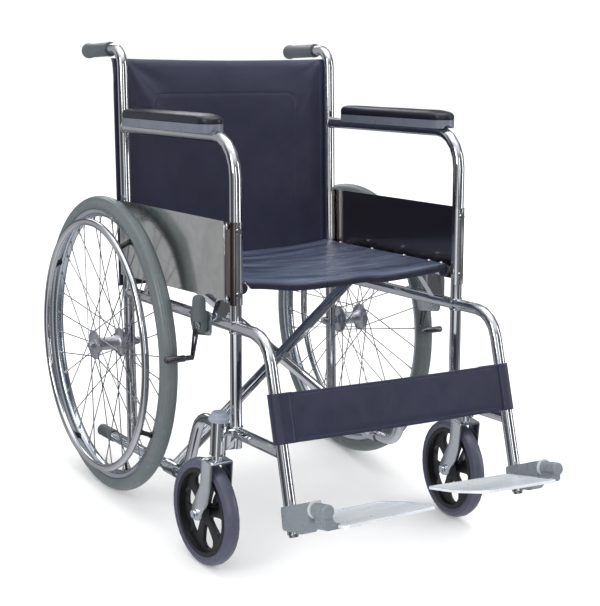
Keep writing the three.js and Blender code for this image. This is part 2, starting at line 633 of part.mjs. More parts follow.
// Band behind the calves, looped round both hangers.
function calfStrap() {
  const r = TUBE_R + GAP;
  const thick = 2.6;
  const arc = (radius, from, to) => Array.from({ length: 9 }, (_, k) => {
    const angle = (from + ((to - from) * k) / 8) * RAD;
    return [-SIDE_X + radius * Math.cos(angle), radius * Math.sin(angle)];
  });
  const flip = (points) => points.map(([x, y]) => [-x, y]).reverse();
  const outside = [[-SIDE_X + 40, r + thick], ...arc(r + thick, 90, 270)];
  const inside = [...arc(r, 270, 90), [-SIDE_X + 40, r]];
  const outline = [...outside, ...flip(outside), ...flip(inside), ...inside];
  const band = slab(outline, 'xy', -46, 41);
  const lean = Math.atan2(HANGER_DIR[1], HANGER_DIR[2]);
  const [, y, z] = hangerAt(139);
  return inFrame(band.rotateX(Math.PI - lean).translate(0, y, z));
}

// ---------- assembly ----------

const SIDE_PARTS = [
  ['back_cane', backCane, steel],
  ['handle_grip', handleGrip, greyPlastic],
  ['arm_tube', armTube, steel],
  ['seat_tube', seatTube, steel],
  ['lower_frame', lowerFrame, steel],
  ['rail_tip', railTip, greyPlastic],
  ['castor_housing', castorHousing, steel],
  ['housing_cap', housingCap, greyPlastic],
  ['side_panel', sidePanel, satin],
  ['tyre', tyre, greyTyre],
  ['rim', rim, steel],
  ['wheel_hub', wheelHub, zinc],
  ['handrim', handrim, steel],
  ['wheel_axle', wheelAxle, zinc],
  ['castor_fork', castorFork, zinc],
  ['castor_tyre', castorTyre, castorRubber],
  ['castor_core', castorCore, blackPlastic],
  ['castor_axle', castorAxle, zinc],
  ['foot_bracket', footBracket, greyPlastic],
  ['brake_bracket', brakeBracket, zinc],
  ['brake_shoe', brakeShoe, zinc],
  ['brake_lever', brakeLever, greyPlastic],
];
// made for each side in turn, because the two sides differ
const HANDED_PARTS = [
  ['arm_pad_base', armPadBase, stripGrey, 0, PAD.leftForward],
  ['arm_pad', armPad, padVinyl, 0, PAD.leftForward],
  ['foot_hinge', footHinge, greyPlastic, PLATE_DROP + PLATE_STAGGER, PLATE_DROP - PLATE_STAGGER],
  ['footplate', footplate, aluminium, PLATE_DROP + PLATE_STAGGER, PLATE_DROP - PLATE_STAGGER],
];
const CENTRE_PARTS = [
  ['brace_a', () => braceLeg('a', 1), steel],
  ['brace_b', () => braceLeg('b', -1), steel],
  ['brace_pivot', bracePivot, zinc],
  ['seat_sling', seatSling, vinyl],
  ['back_sling', backSling, vinyl],
  ['calf_strap', calfStrap, vinyl],
];

const group = new THREE.Group();
group.name = 'wheelchair';

function add(name, geometry, material) {
  geometry.computeVertexNormals();
  const mesh = new THREE.Mesh(geometry, new THREE.MeshStandardMaterial(material));
  mesh.name = name;
  group.add(mesh);
}

for (const [name, make, material] of SIDE_PARTS) {
  const geometry = make();
  add(`right_${name}`, geometry, material);
  add(`left_${name}`, mirrored(geometry), material);
}
for (const [name, make, material, right, left] of HANDED_PARTS) {
  add(`right_${name}`, make(right, -1), material);
  add(`left_${name}`, mirrored(make(left, 1)), material);
}
for (const [name, make, material] of CENTRE_PARTS) add(name, make(), material);

// The origin is on the floor, under the middle of the whole chair.
const bounds = new THREE.Box3().setFromObject(group);
const middle = bounds.getCenter(new THREE.Vector3());
for (const mesh of group.children) mesh.geometry.translate(-middle.x, -middle.y, -bounds.min.z);

export default group;
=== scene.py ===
"""A folding manual wheelchair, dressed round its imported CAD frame. Metres, Z up, the occupant faces -Y."""
import json
import math

import bmesh
import bpy
import numpy as np
from mathutils import Matrix, Vector, noise


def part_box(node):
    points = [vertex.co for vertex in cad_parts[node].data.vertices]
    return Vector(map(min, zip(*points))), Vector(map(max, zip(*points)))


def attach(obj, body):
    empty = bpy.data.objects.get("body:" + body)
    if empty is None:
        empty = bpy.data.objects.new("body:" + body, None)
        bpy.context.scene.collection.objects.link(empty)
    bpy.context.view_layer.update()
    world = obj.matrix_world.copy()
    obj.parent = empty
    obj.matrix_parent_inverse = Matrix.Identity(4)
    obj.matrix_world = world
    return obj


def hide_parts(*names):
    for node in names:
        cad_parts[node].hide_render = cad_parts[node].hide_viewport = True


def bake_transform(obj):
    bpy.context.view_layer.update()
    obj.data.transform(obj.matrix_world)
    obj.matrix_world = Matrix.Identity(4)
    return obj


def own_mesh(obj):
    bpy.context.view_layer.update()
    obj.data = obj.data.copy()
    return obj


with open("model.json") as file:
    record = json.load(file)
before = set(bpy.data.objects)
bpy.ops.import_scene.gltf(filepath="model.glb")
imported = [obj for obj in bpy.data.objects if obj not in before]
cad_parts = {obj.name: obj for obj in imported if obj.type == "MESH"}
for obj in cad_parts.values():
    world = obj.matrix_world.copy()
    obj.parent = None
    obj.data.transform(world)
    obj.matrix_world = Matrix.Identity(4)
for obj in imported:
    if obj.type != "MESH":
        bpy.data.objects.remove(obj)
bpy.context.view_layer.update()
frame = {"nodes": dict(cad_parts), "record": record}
NODES = frame["nodes"]
SIDES = (("right", -1), ("left", 1))

# ---------------- the CAD model's own measures
TILT = math.radians(6)
AXLE_Z = 0.303
tyre_low, tyre_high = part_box("right_tyre")
AXLE_Y = (tyre_low.y + tyre_high.y) / 2
WHEEL_X = -(tyre_low.x + tyre_high.x) / 2
SIDE_X = 0.246  # half the distance between the side frames
TUBE_R = 0.011
ARM_TUBE_Z, MAIN_TUBE_Z, LOW_TUBE_Z, POST_Y = 0.743, 0.407, 0.213, -0.458
RAIL_X, RAIL_Z = 0.224, 0.473
RAIL_REAR, RAIL_FRONT = -0.014, -0.444
SEAT_FRONT, SEAT_REAR = RAIL_FRONT + 0.001, RAIL_REAR + 0.008
HANDRIM_X, HANDRIM_R, HANDRIM_TUBE_R = 0.0323, 0.2518, 0.0075
PEGS, FIRST_PEG, SPOKES, VALVE = 4, 64, 36, 205  # counts, and degrees round the wheel from its top
HANGER_TOP = Vector((0, -0.572, 0.407))
HANGER_DIR = Vector((0, -0.264, -0.9645)).normalized()


def tilted(x, y, z):
    """A point of the side frame's own upright coordinates, in the row frame."""
    c, s = math.cos(TILT), math.sin(TILT)
    return Vector((x, y * c + (z - AXLE_Z) * s + AXLE_Y, -y * s + (z - AXLE_Z) * c + AXLE_Z))


def tilt_direction(x, y, z):
    c, s = math.cos(TILT), math.sin(TILT)
    return Vector((x, y * c + z * s, -y * s + z * c))


def cane_y(z):
    """Where a back cane's axis is at height z, in the side frame's own coordinates."""
    return 0.0277 * (z - AXLE_Z)


# ---------------- materials
class Shader:
    """A Principled material with small helpers for the nodes that feed it."""

    def __init__(self, name, **values):
        self.material = bpy.data.materials.new(name)
        self.material.use_nodes = True
        self.tree = self.material.node_tree
        self.bsdf = self.tree.nodes["Principled BSDF"]
        for key, value in values.items():
            self.bsdf.inputs[key.replace("_", " ")].default_value = value
        self.coordinates = self.tree.nodes.new("ShaderNodeTexCoord").outputs["Object"]

    def node(self, kind, inputs=(), **settings):
        made = self.tree.nodes.new("ShaderNode" + kind)
        for key, value in settings.items():
            setattr(made, key, value)
        for key, value in dict(inputs).items():
            if isinstance(value, bpy.types.NodeSocket):
                self.tree.links.new(value, made.inputs[key])
            else:
                made.inputs[key].default_value = value
        return made

    def stretched(self, scale):
        return self.node("Mapping", {"Vector": self.coordinates, "Scale": scale}).outputs["Vector"]

    def noise(self, scale, detail=3.0, rough=0.55, vector=None, distortion=0.0):
        return self.node("TexNoise", {"Vector": vector or self.coordinates, "Scale": scale, "Detail": detail,
                                      "Roughness": rough, "Distortion": distortion}).outputs["Fac"]

    def cells(self, scale, vector):
        return self.node("TexVoronoi", {"Vector": vector, "Scale": scale},
                         feature="DISTANCE_TO_EDGE").outputs["Distance"]

    def ranged(self, value, low, high, new_low, new_high):
        return self.node("MapRange", {"Value": value, "From Min": low, "From Max": high, "To Min": new_low,
                                      "To Max": new_high}).outputs["Result"]

    def mix(self, factor, a, b):
        made = self.node("Mix", {"Factor": factor}, data_type="RGBA")
        for index, value in ((6, a), (7, b)):
            if isinstance(value, bpy.types.NodeSocket):
                self.tree.links.new(value, made.inputs[index])
            else:
                made.inputs[index].default_value = (*value, 1.0)
        return made.outputs[2]

    def math(self, operation, a, b=0):
        return self.node("Math", {0: a, 1: b}, operation=operation).outputs[0]

    def part(self, axis, vector=None):
        return self.node("SeparateXYZ", {"Vector": vector or self.coordinates}).outputs[axis]

    def set(self, name, socket):
        self.tree.links.new(socket, self.bsdf.inputs[name])

    def bump(self, *layers):
        """Each layer is (height socket, strength, distance in metres)."""
        normal = None
        for height, strength, distance in layers:
            inputs = {"Height": height, "Strength": strength, "Distance": distance}
            if normal is not None:
                inputs["Normal"] = normal
            normal = self.node("Bump", inputs).outputs["Normal"]
        self.set("Normal", normal)


def chrome(name="chromed_tube", colour=(0.74, 0.75, 0.78), rough=(0.04, 0.11)):
    """Bright plate: faint clouding, fine polish marks and a barely uneven surface."""
    s = Shader(name, Metallic=1.0)
    cloud = s.noise(9, 4)
    s.set("Base Color", s.mix(s.ranged(cloud, 0.35, 0.7, 0, 1), colour, tuple(0.86 * v for v in colour)))
    fine = s.noise(260, 4, 0.7)
    s.set("Roughness", s.ranged(s.math("MULTIPLY", cloud, fine), 0.12, 0.42, *rough))
    s.bump((s.noise(45, 2), 0.05, 0.0008))
    return s.material


def zinc(name="zinc_hardware", colour=(0.56, 0.59, 0.62), rough=(0.16, 0.30)):
    """Duller plate for hardware, clouded and finely uneven."""
    s = Shader(name, Metallic=1.0)
    cloud = s.noise(40, 4, 0.6)
    s.set("Base Color", s.mix(s.ranged(cloud, 0.3, 0.7, 0, 1), colour, tuple(0.84 * v for v in colour)))
    s.set("Roughness", s.ranged(s.noise(120, 4), 0.3, 0.7, *rough))
    s.bump((s.noise(90, 2), 0.04, 0.0003))
    return s.material


def along_chair(s):
    """The coordinate along the side frames, which lean back by TILT, from their front to their rear."""
    return s.node("VectorMath", {0: s.coordinates, 1: (0, math.cos(TILT), -math.sin(TILT))},
                  operation="DOT_PRODUCT").outputs["Value"]


def frame_y(y):
    """The along_chair value of a y in the side frame's own coordinates."""
    return y + AXLE_Y * math.cos(TILT) - AXLE_Z * math.sin(TILT)


PANEL_FOLD = -0.440  # in the side frame's own coordinates, where the skirt's flat plate folds in to the post


def skirt_plate():
    """Rolled stainless sheet: a soft mirror with faint clouds, a painted brown reflection in streaks outside where it
    rolls round the post, and painted shade that darkens it inside."""
    s = Shader("skirt_plate", Metallic=1.0)
    along = s.noise(700, 2, 0.5, s.stretched((1, 0.015, 1)))
    cloud = s.noise(17, 5, 0.6, distortion=0.5)
    specks = s.ranged(s.noise(150, 5, 0.7), 0.58, 0.74, 0, 0.45)
    tone = s.mix(s.ranged(cloud, 0.3, 0.7, 0, 1), (0.60, 0.595, 0.57), (0.74, 0.74, 0.72))
    plain = s.mix(specks, tone, (0.42, 0.40, 0.38))
    rolled = s.ranged(along_chair(s), frame_y(PANEL_FOLD) - 0.0006, frame_y(PANEL_FOLD) + 0.0006, 1, 0)
    off_middle = s.math("ABSOLUTE", s.part("X"))
    outboard = s.ranged(off_middle, SIDE_X + 0.0035, SIDE_X + 0.0060, 0, 1)
    # painted shade on the inner face, which also dims what it mirrors
    inner_face_shade = s.ranged(off_middle, SIDE_X + TUBE_R + 0.0007, SIDE_X + TUBE_R + 0.0012, 1, 0)
    plain = s.mix(inner_face_shade, plain, (0.33, 0.30, 0.29))
    # painted reflection: brown streaks, stretched upright, on the outside of the roll round the post
    streak = s.noise(16, 3, 0.6, s.stretched((5, 5, 0.35)))
    painted_brown_reflection = s.mix(s.ranged(streak, 0.35, 0.65, 0, 1), (0.26, 0.225, 0.21), (0.10, 0.085, 0.08))
    s.set("Base Color", s.mix(rolled, plain, s.mix(outboard, (0.72, 0.73, 0.76), painted_brown_reflection)))
    s.set("Roughness", s.ranged(s.math("ADD", along, cloud), 0.6, 1.4, 0.10, 0.18))
    s.bump((s.noise(4, 2), 0.2, 0.004), (along, 0.05, 0.0001))
    return s.material


def plastic(name, colour, rough, grain=900, depth=0.00025):
    """Moulded plastic with a faint clouding and a fine grain."""
    s = Shader(name)
    cloud = s.noise(28, 4)
    s.set("Base Color", s.mix(s.ranged(cloud, 0.3, 0.7, 0, 1), colour, tuple(0.86 * v for v in colour)))
    s.set("Roughness", s.ranged(s.noise(70, 4), 0.3, 0.7, *rough))
    s.bump((s.noise(grain, 3, 0.7), 0.35, depth), (s.noise(30, 2), 0.05, 0.0006))
    return s.material


def rubber(name, colour, scuff, rough):
    """Moulded rubber with a soft shine, a bloom of dust and a fine grain."""
    s = Shader(name)
    cloud = s.noise(9, 4, 0.55)
    dust = s.ranged(s.noise(60, 6, 0.7), 0.52, 0.76, 0, 0.45)
    base = s.mix(s.ranged(cloud, 0.3, 0.7, 0, 1), colour, tuple(0.90 * v for v in colour))
    s.set("Base Color", s.mix(dust, base, scuff))
    s.set("Roughness", s.ranged(cloud, 0.3, 0.7, *rough))
    s.bump((s.noise(700, 4, 0.7), 0.25, 0.0002))
    return s.material


def vinyl(name, colour, light, rough=(0.34, 0.50), sheen_streaks=0.0, top=None, hem=None):
    """Coated cloth: a leather-like pebble, soft creases and a light gloss. light is the colour of painted sheen
    and highlights: streaks across the chair, the upper edge when top gives its height, and a line behind the front
    fold when hem gives its place, where the hem in front of the line gets painted shade."""
    s = Shader(name, Sheen_Weight=0.10, Sheen_Roughness=0.45, Sheen_Tint=(0.45, 0.55, 0.85, 1.0))
    cloud = s.noise(11, 5, 0.6)
    warp = s.node("TexNoise", {"Vector": s.coordinates, "Scale": 240.0}).outputs["Color"]
    warp = s.node("VectorMath", {0: warp, 1: (0.0012, 0.0012, 0.0012)}, operation="MULTIPLY").outputs["Vector"]
    warped = s.node("VectorMath", {0: s.coordinates, 1: warp}, operation="ADD").outputs["Vector"]
    pebble = s.cells(1000, warped)
    tone = s.mix(s.ranged(cloud, 0.3, 0.7, 0, 1), colour, tuple(0.82 * v for v in colour))
    heights = [(s.noise(42, 4, 0.6, distortion=0.8), 0.35, 0.0012)]
    if sheen_streaks:
        wide = s.noise(7, 5, 0.58, s.stretched((0.45, 2.6, 1.0)), 1.3)
        fine = s.noise(30, 4, 0.6, s.stretched((0.3, 3.0, 1.0)), 0.8)
        wrinkle_and_sheen = s.math("ADD", s.math("MULTIPLY", wide, 0.80), s.math("MULTIPLY", fine, 0.20))
        # painted sheen: light streaks along the wrinkles, which also bump the surface
        tone = s.mix(s.ranged(wrinkle_and_sheen, 0.40, 0.64, 0, sheen_streaks), tone, light)
        heights.append((wrinkle_and_sheen, 0.5, 0.0050))
    if top:
        # painted sheen: lighter over the upper 100 mm, in soft patches
        painted_top_sheen = s.ranged(s.part("Z"), top - 0.100, top, 0, 0.55)
        soft = s.ranged(s.noise(5, 3, 0.5, s.stretched((1, 1, 2.2))), 0.35, 0.65, 0.25, 1)
        tone = s.mix(s.math("MULTIPLY", painted_top_sheen, soft), tone, light)
    if hem:
        past = s.math("SUBTRACT", along_chair(s), frame_y(hem))
        # painted highlight: a light line 7 mm behind the front fold
        line = s.ranged(s.math("ABSOLUTE", s.math("SUBTRACT", past, 0.007)), 0.002, 0.009, 0.75, 0)
        tone = s.mix(line, tone, light)
        # painted shade on the front hem, which hangs down in front of the fold
        tone = s.mix(s.ranged(past, -0.0022, 0.0008, 1, 0), tone, tuple(0.40 * v for v in colour))
    # painted shade: darker in the pebble's valleys
    valley = s.ranged(pebble, 0.0, 0.16, 0.45, 0.0)
    s.set("Base Color", s.mix(valley, tone, tuple(0.6 * v for v in colour)))
    s.set("Roughness", s.ranged(s.noise(35, 4), 0.3, 0.7, *rough))
    s.bump(*heights, (s.ranged(pebble, 0, 0.25, 0, 1), 0.18, 0.00014))
    return s.material


def cast_aluminium():
    """Pale cast metal with painted shade on the chamfers, where a face is neither level nor upright."""
    s = Shader("cast_aluminium", Metallic=0.25)
    cloud = s.noise(9, 4, 0.6, s.stretched((0.5, 2.6, 1)), 0.8)
    tone = s.mix(s.ranged(cloud, 0.38, 0.62, 0, 1), (0.95, 0.97, 0.99), (0.78, 0.83, 0.89))
    normal = s.node("VectorTransform", {0: s.node("NewGeometry").outputs["True Normal"]}, vector_type="NORMAL",
                    convert_from="WORLD", convert_to="OBJECT").outputs["Vector"]
    facing = s.math("ABSOLUTE", s.part("Z", normal))
    off_corner = s.math("ABSOLUTE", s.math("SUBTRACT", facing, 0.62))
    # painted shade: darker where a face is turned between level and upright
    s.set("Base Color", s.mix(s.ranged(off_corner, 0.30, 0.36, 0.85, 0), tone, (0.20, 0.23, 0.27)))
    s.set("Roughness", s.ranged(s.noise(110, 5), 0.3, 0.7, 0.26, 0.40))
    s.bump((s.noise(420, 3, 0.7), 0.12, 0.0002), (s.noise(35, 2), 0.08, 0.001))
    return s.material


MATERIALS = {
    "chromed_tube": chrome(),
    "skirt_plate": skirt_plate(),
    "zinc_hardware": zinc(),
    "grey_plastic": plastic("grey_plastic", (0.185, 0.21, 0.235), (0.24, 0.36), 900, 0.00012),
    "grey_tyre": rubber("grey_tyre", (0.112, 0.134, 0.140), (0.19, 0.215, 0.225), (0.24, 0.38)),
    "castor_tyre": rubber("castor_tyre", (0.072, 0.074, 0.112), (0.11, 0.112, 0.155), (0.24, 0.36)),
    "black_plastic": plastic("black_plastic", (0.006, 0.006, 0.008), (0.28, 0.42)),
    # the back's cloth, with painted sheen towards its upper edge
    "vinyl": vinyl("vinyl", (0.021, 0.022, 0.052), (0.080, 0.090, 0.150), top=0.890),
    "pad_vinyl": plastic("pad_vinyl", (0.0090, 0.0100, 0.0190), (0.30, 0.40), 1500, 0.00006),
    "pad_strip": plastic("pad_strip", (0.130, 0.143, 0.185), (0.26, 0.38), 1200, 0.0001),
    "cast_aluminium": cast_aluminium(),
}
# the seat's cloth: painted sheen streaks, a painted highlight behind the front fold and painted shade on its hem
SEAT_VINYL = vinyl("seat_vinyl", (0.026, 0.031, 0.064), (0.165, 0.205, 0.300), (0.26, 0.40), 0.85,
                   hem=SEAT_FRONT)
THREAD = plastic("thread", (0.075, 0.08, 0.14), (0.5, 0.7), 2600, 0.0002)
NYLON = plastic("nylon", (0.50, 0.53, 0.56), (0.35, 0.5), 1500, 0.0001)
GRIP = plastic("grip_rubber", (0.085, 0.100, 0.108), (0.34, 0.48), 700, 0.0004)
CAP = plastic("cap_plastic", (0.25, 0.28, 0.36), (0.30, 0.42))
RIM = chrome("rim_plating", (0.66, 0.71, 0.77), (0.14, 0.24))
HUB = zinc("hub_plating", (0.64, 0.64, 0.70), (0.30, 0.42))
DARK_STEEL = zinc("blackened_steel", (0.15, 0.155, 0.175), (0.22, 0.36))
FORK = chrome("fork_plating", (0.84, 0.88, 0.92), (0.12, 0.22))
SPOKE = zinc("spoke_wire", (0.42, 0.43, 0.45), (0.16, 0.28))
NICKEL = zinc("nipple_nickel", (0.66, 0.65, 0.62), (0.2, 0.3))
OWN_FINISH = {"handle_grip": GRIP, "rail_tip": GRIP, "brake_lever": GRIP, "housing_cap": CAP,
              "brake_shoe": DARK_STEEL, "castor_fork": FORK, "castor_axle": FORK}


# ---------------- CAD nodes: finish, soft edges, smooth faces
def smooth_by_angle():
    """A modifier that shades faces smooth and keeps edges over 34 degrees sharp."""
    tree = bpy.data.node_groups.new("smooth_by_angle", "GeometryNodeTree")
    tree.interface.new_socket("Geometry", in_out="INPUT", socket_type="NodeSocketGeometry")
    tree.interface.new_socket("Geometry", in_out="OUTPUT", socket_type="NodeSocketGeometry")
    new, link = tree.nodes.new, tree.links.new
    source, result = new("NodeGroupInput"), new("NodeGroupOutput")
    angle = new("GeometryNodeInputMeshEdgeAngle")
    small = new("FunctionNodeCompare")
    small.operation = "LESS_EQUAL"
    small.inputs["B"].default_value = math.radians(34)
    faces, edges = new("GeometryNodeSetShadeSmooth"), new("GeometryNodeSetShadeSmooth")
    faces.domain, edges.domain = "FACE", "EDGE"
    link(source.outputs[0], faces.inputs["Geometry"])
    link(faces.outputs[0], edges.inputs["Geometry"])
    link(angle.outputs["Unsigned Angle"], small.inputs["A"])
    link(small.outputs[0], edges.inputs["Shade Smooth"])
    link(edges.outputs[0], result.inputs[0])
    return tree


SMOOTH = smooth_by_angle()
SOFT_EDGE = {
    "castor_fork": 0.0007, "castor_core": 0.0009, "foot_bracket": 0.0012, "foot_hinge": 0.0008, "footplate": 0.0014,
    "brake_bracket": 0.0005, "brake_shoe": 0.0005, "brake_lever": 0.0012,
    "castor_housing": 0.0005, "wheel_axle": 0.0004, "castor_axle": 0.0005, "housing_cap": 0.0005,
}


def finish_node(node, slot_name):
    """Gives a CAD node its material, softened edges and smooth shading, all without moving a vertex."""
    o = NODES[node]
    o.data.materials.clear()
    kind = node.split("_", 1)[-1]
    o.data.materials.append(OWN_FINISH.get(kind, MATERIALS[slot_name]))
    if "custom_normal" in o.data.attributes:
        o.data.attributes.remove(o.data.attributes["custom_normal"])
    weld = o.modifiers.new("weld", "WELD")
    weld.merge_threshold = 0.00002
    soft = SOFT_EDGE.get(kind)
    if soft:
        bevel = o.modifiers.new("soft_edge", "BEVEL")
        bevel.width, bevel.segments = soft, 2
        bevel.limit_method, bevel.angle_limit = "ANGLE", math.radians(40)
        bevel.use_clamp_overlap = True
    shade = o.modifiers.new("shade", "NODES")
    shade.node_group = SMOOTH


for part in frame["record"]["subparts"]:
    finish_node(part["node"], part["material_slot"])


# ---------------- making meshes
def mesh_piece(name, points, faces, material, smooth=40):
    data = bpy.data.meshes.new(name)
    data.from_pydata([tuple(p) for p in points], [], faces)
    data.validate()
    data.polygons.foreach_set("use_smooth", [True] * len(data.polygons))
    data.set_sharp_from_angle(angle=math.radians(smooth))
    data.materials.append(material)
    o = bpy.data.objects.new(name, data)
    bpy.context.scene.collection.objects.link(o)
    return o


def outward(o):
    """Turns the faces of a closed mesh outwards."""
    b = bmesh.new()
    b.from_mesh(o.data)
    bmesh.ops.recalc_face_normals(b, faces=b.faces)
    b.to_mesh(o.data)
    b.free()
    return o


class Build:
    """Collects solids and turns them into one piece."""

    def __init__(self):
        self.points, self.faces = [], []

    def add(self, points, faces):
        n = len(self.points)
        self.points += [Vector(p) for p in points]
        self.faces += [tuple(i + n for i in f) for f in faces]

    def tube(self, path, radii, sides=16, closed=False):
        """A round bar along a path, with flat ends. radii is one radius or one for each point."""
        path = [Vector(p) for p in path]
        n = len(path)
        radii = radii if hasattr(radii, "__len__") else [radii] * n
        tangents = []
        for i in range(n):
            before = path[i - 1] if closed or i else path[0]
            after = path[(i + 1) % n] if closed or i < n - 1 else path[-1]
            tangents.append((after - before).normalized())
        across = tangents[0].orthogonal().normalized()
        rings = []
        for i in range(n):
            across = (across - tangents[i] * across.dot(tangents[i])).normalized()
            up = tangents[i].cross(across)
            rings.append([path[i] + (across * math.cos(a) + up * math.sin(a)) * radii[i]
                          for a in (2 * math.pi * k / sides for k in range(sides))])
        points = [p for ring in rings for p in ring]
        faces = []
        for i in range(n if closed else n - 1):
            j = (i + 1) % n
            faces += [(i * sides + k, i * sides + (k + 1) % sides, j * sides + (k + 1) % sides, j * sides + k)
                      for k in range(sides)]
        if not closed:
            faces += [tuple(range(sides))[::-1], tuple(range((n - 1) * sides, n * sides))]
        self.add(points, faces)

    def lathe(self, profile, centre, axis, sides=48, ring=False):
        """Turns [radius, distance along the axis] points about the axis through centre."""
        axis = Vector(axis).normalized()
        u = axis.orthogonal().normalized()
        v = axis.cross(u)
        centre = Vector(centre)
        n = len(profile)
        points = []
        for a in (2 * math.pi * k / sides for k in range(sides)):
            spoke = u * math.cos(a) + v * math.sin(a)
            points += [centre + axis * h + spoke * r for r, h in profile]
        faces = []
        for k in range(sides):
            m = (k + 1) % sides
            for i in range(n if ring else n - 1):
                j = (i + 1) % n
                faces.append((k * n + i, m * n + i, m * n + j, k * n + j))
        self.add(points, faces)

    def piece(self, name, material, smooth=40):
        o = mesh_piece(name, self.points, self.faces, material, smooth)
        b = bmesh.new()
        b.from_mesh(o.data)
        bmesh.ops.remove_doubles(b, verts=b.verts, dist=1e-6)
        bmesh.ops.recalc_face_normals(b, faces=b.faces)
        b.to_mesh(o.data)
        b.free()
        o.data.set_sharp_from_angle(angle=math.radians(smooth))
        return o


def place(o, body, replaces=()):
    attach(o, body)
    if replaces:
        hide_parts(*replaces)
    return o


# ---------------- rear wheels
def tyre_profile():
    """Round section with four fine tread grooves, a shoulder line and beads that sit in the rim."""
    middle, half_width, crown = 0.2868, 0.0170, 0.0162
    points = []
    for k in range(73):
        a = math.radians(-128 + 256 * k / 72)
        r = middle + crown * math.cos(a)
        x = half_width * math.sin(a) * (1 if abs(a) < math.pi / 2 else 0.985)
        depth = 0.0
        for groove, width, cut in ((0.0028, 0.0008, 0.0007), (0.0075, 0.0008, 0.0007), (0.0142, 0.0006, 0.0004)):
            depth = max(depth, cut * max(0.0, 1 - ((abs(x) - groove) / width) ** 2) if a * a < 2.3 else 0.0)
        points.append([r - depth * math.cos(a), x - depth * math.sin(a)])
    points = [[0.2767, -0.0092], *points, [0.2767, 0.0092]]
    return [[max(r, 0.2766), x] for r, x in points]


def rim_profile():
    half = [[0.2761, 0.0107], [0.2764, 0.0118], [0.2758, 0.0124], [0.2745, 0.0122], [0.2725, 0.0116],
            [0.2700, 0.0119], [0.2675, 0.0112], [0.2640, 0.0082], [0.2622, 0.0056], [0.2615, 0.0028], [0.2613, 0]]
    floor = [[0.2715, 0], [0.2715, 0.0060], [0.2745, 0.0100]]
    return [*floor, *half, *[[r, -x] for r, x in half[-2::-1]], *[[r, -x] for r, x in floor[:0:-1]]]


def wheel(side, sg):
    centre = Vector((sg * WHEEL_X, AXLE_Y, AXLE_Z))
    body = side + "_wheel"
    at = lambda out, r, angle: centre + Vector((sg * out, r * math.sin(angle), r * math.cos(angle)))

    b = Build()
    b.lathe(tyre_profile(), centre, (1, 0, 0), 200, ring=True)
    place(b.piece(side + "_tyre_cover", MATERIALS["grey_tyre"], 50), body, [side + "_tyre"])

    b = Build()
    b.lathe(rim_profile(), centre, (1, 0, 0), 200, ring=True)
    place(b.piece(side + "_rim_ring", RIM, 50), body, [side + "_rim"])

    b = Build()
    loop = [at(HANDRIM_X, HANDRIM_R, 2 * math.pi * k / 180) for k in range(180)]
    b.tube(loop, HANDRIM_TUBE_R, 20, closed=True)
    place(b.piece(side + "_push_ring", MATERIALS["chromed_tube"]), body, [side + "_handrim"])

    b = Build()
    for k in range(PEGS):
        angle = math.radians(FIRST_PEG + 360 / PEGS * k)
        start, end = at(0.0098, 0.2665, angle), at(HANDRIM_X - 0.004, HANDRIM_R + 0.0025, angle)
        along = [start.lerp(end, t) for t in (0, 0.04, 0.16, 0.2, 0.8, 0.84, 0.97, 1)]
        b.tube(along, [0.0052, 0.0062, 0.0062, 0.0048, 0.0048, 0.0058, 0.0058, 0.0048], 14)
    place(b.piece(side + "_push_ring_pegs", MATERIALS["black_plastic"]), body)

    b = Build()
    shell = [[0.0062, -0.0318], [0.0130, -0.0318], [0.0148, -0.0312], [0.0150, -0.0302], [0.0290, -0.0300],
             [0.0300, -0.0295], [0.0300, -0.0275], [0.0290, -0.0268], [0.0190, -0.0255], [0.0160, -0.0230],
             [0.0142, -0.0180], [0.0135, -0.0100], [0.0135, 0]]
    b.lathe([*shell, *[[r, -x] for r, x in shell[-2::-1]]], centre, (1, 0, 0), 64)
    place(b.piece(side + "_hub_shell", HUB), body, [side + "_wheel_hub"])

    wires, nipples = Build(), Build()
    for i in range(SPOKES):
        flange = 1 if i % 2 else -1
        lean = 1 if (i // 2) % 2 else -1
        angle = 2 * math.pi * i / SPOKES
        from_angle = angle + lean * math.radians(58)
        head = at(flange * (0.0285 + lean * 0.0022), 0.0262, from_angle)
        end = at(flange * 0.0025, 0.2612, angle)
        elbow = at(flange * (0.0285 - lean * 0.0022), 0.0262, from_angle)
        wires.tube([elbow, head, head.lerp(end, 0.02), end], [0.0015, 0.00125, 0.00115, 0.00115], 8)
        inward = (head - end).normalized()
        nipples.tube([end - inward * 0.001, end + inward * 0.002, end + inward * 0.0024, end + inward * 0.012,
                      end + inward * 0.0125], [0.0032, 0.0032, 0.0021, 0.0019, 0.0013], 10)
    place(wires.piece(side + "_spokes", SPOKE), body)
    place(nipples.piece(side + "_spoke_nipples", NICKEL), body)

    b = Build()
    angle = math.radians(VALVE)
    base, tip = at(0, 0.2625, angle), at(0.0, 0.2300, angle)
    b.tube([base.lerp(tip, t) for t in (0, 0.05, 0.06, 0.45, 0.5, 0.52, 0.96, 1)],
           [0.0058, 0.0058, 0.0032, 0.0030, 0.0030, 0.0042, 0.0040, 0.0026], 12)
    place(b.piece(side + "_tyre_valve", MATERIALS["black_plastic"]), body)


for side, sg in SIDES:
    wheel(side, sg)

# ---------------- cloth
def grid_faces(columns, rows):
    """Quads of a grid whose points run along the columns first."""
    return [(j * columns + i, j * columns + i + 1, (j + 1) * columns + i + 1, (j + 1) * columns + i)
            for j in range(rows - 1) for i in range(columns - 1)]


def solid_sheet(name, points, faces, material, thickness):
    o = mesh_piece(name, points, faces, material, 60)
    solid = o.modifiers.new("thickness", "SOLIDIFY")
    solid.thickness, solid.offset = thickness, 0.0
    return o


def fold(value, centre, width):
    """A soft ridge, 1 at centre and 0 beyond width."""
    t = min(1.0, abs(value - centre) / width)
    return (1 - t * t) ** 2


def ripple(a, b, seed):
    """Smooth noise over two coordinates."""
    return noise.noise(Vector((a, b, seed)))


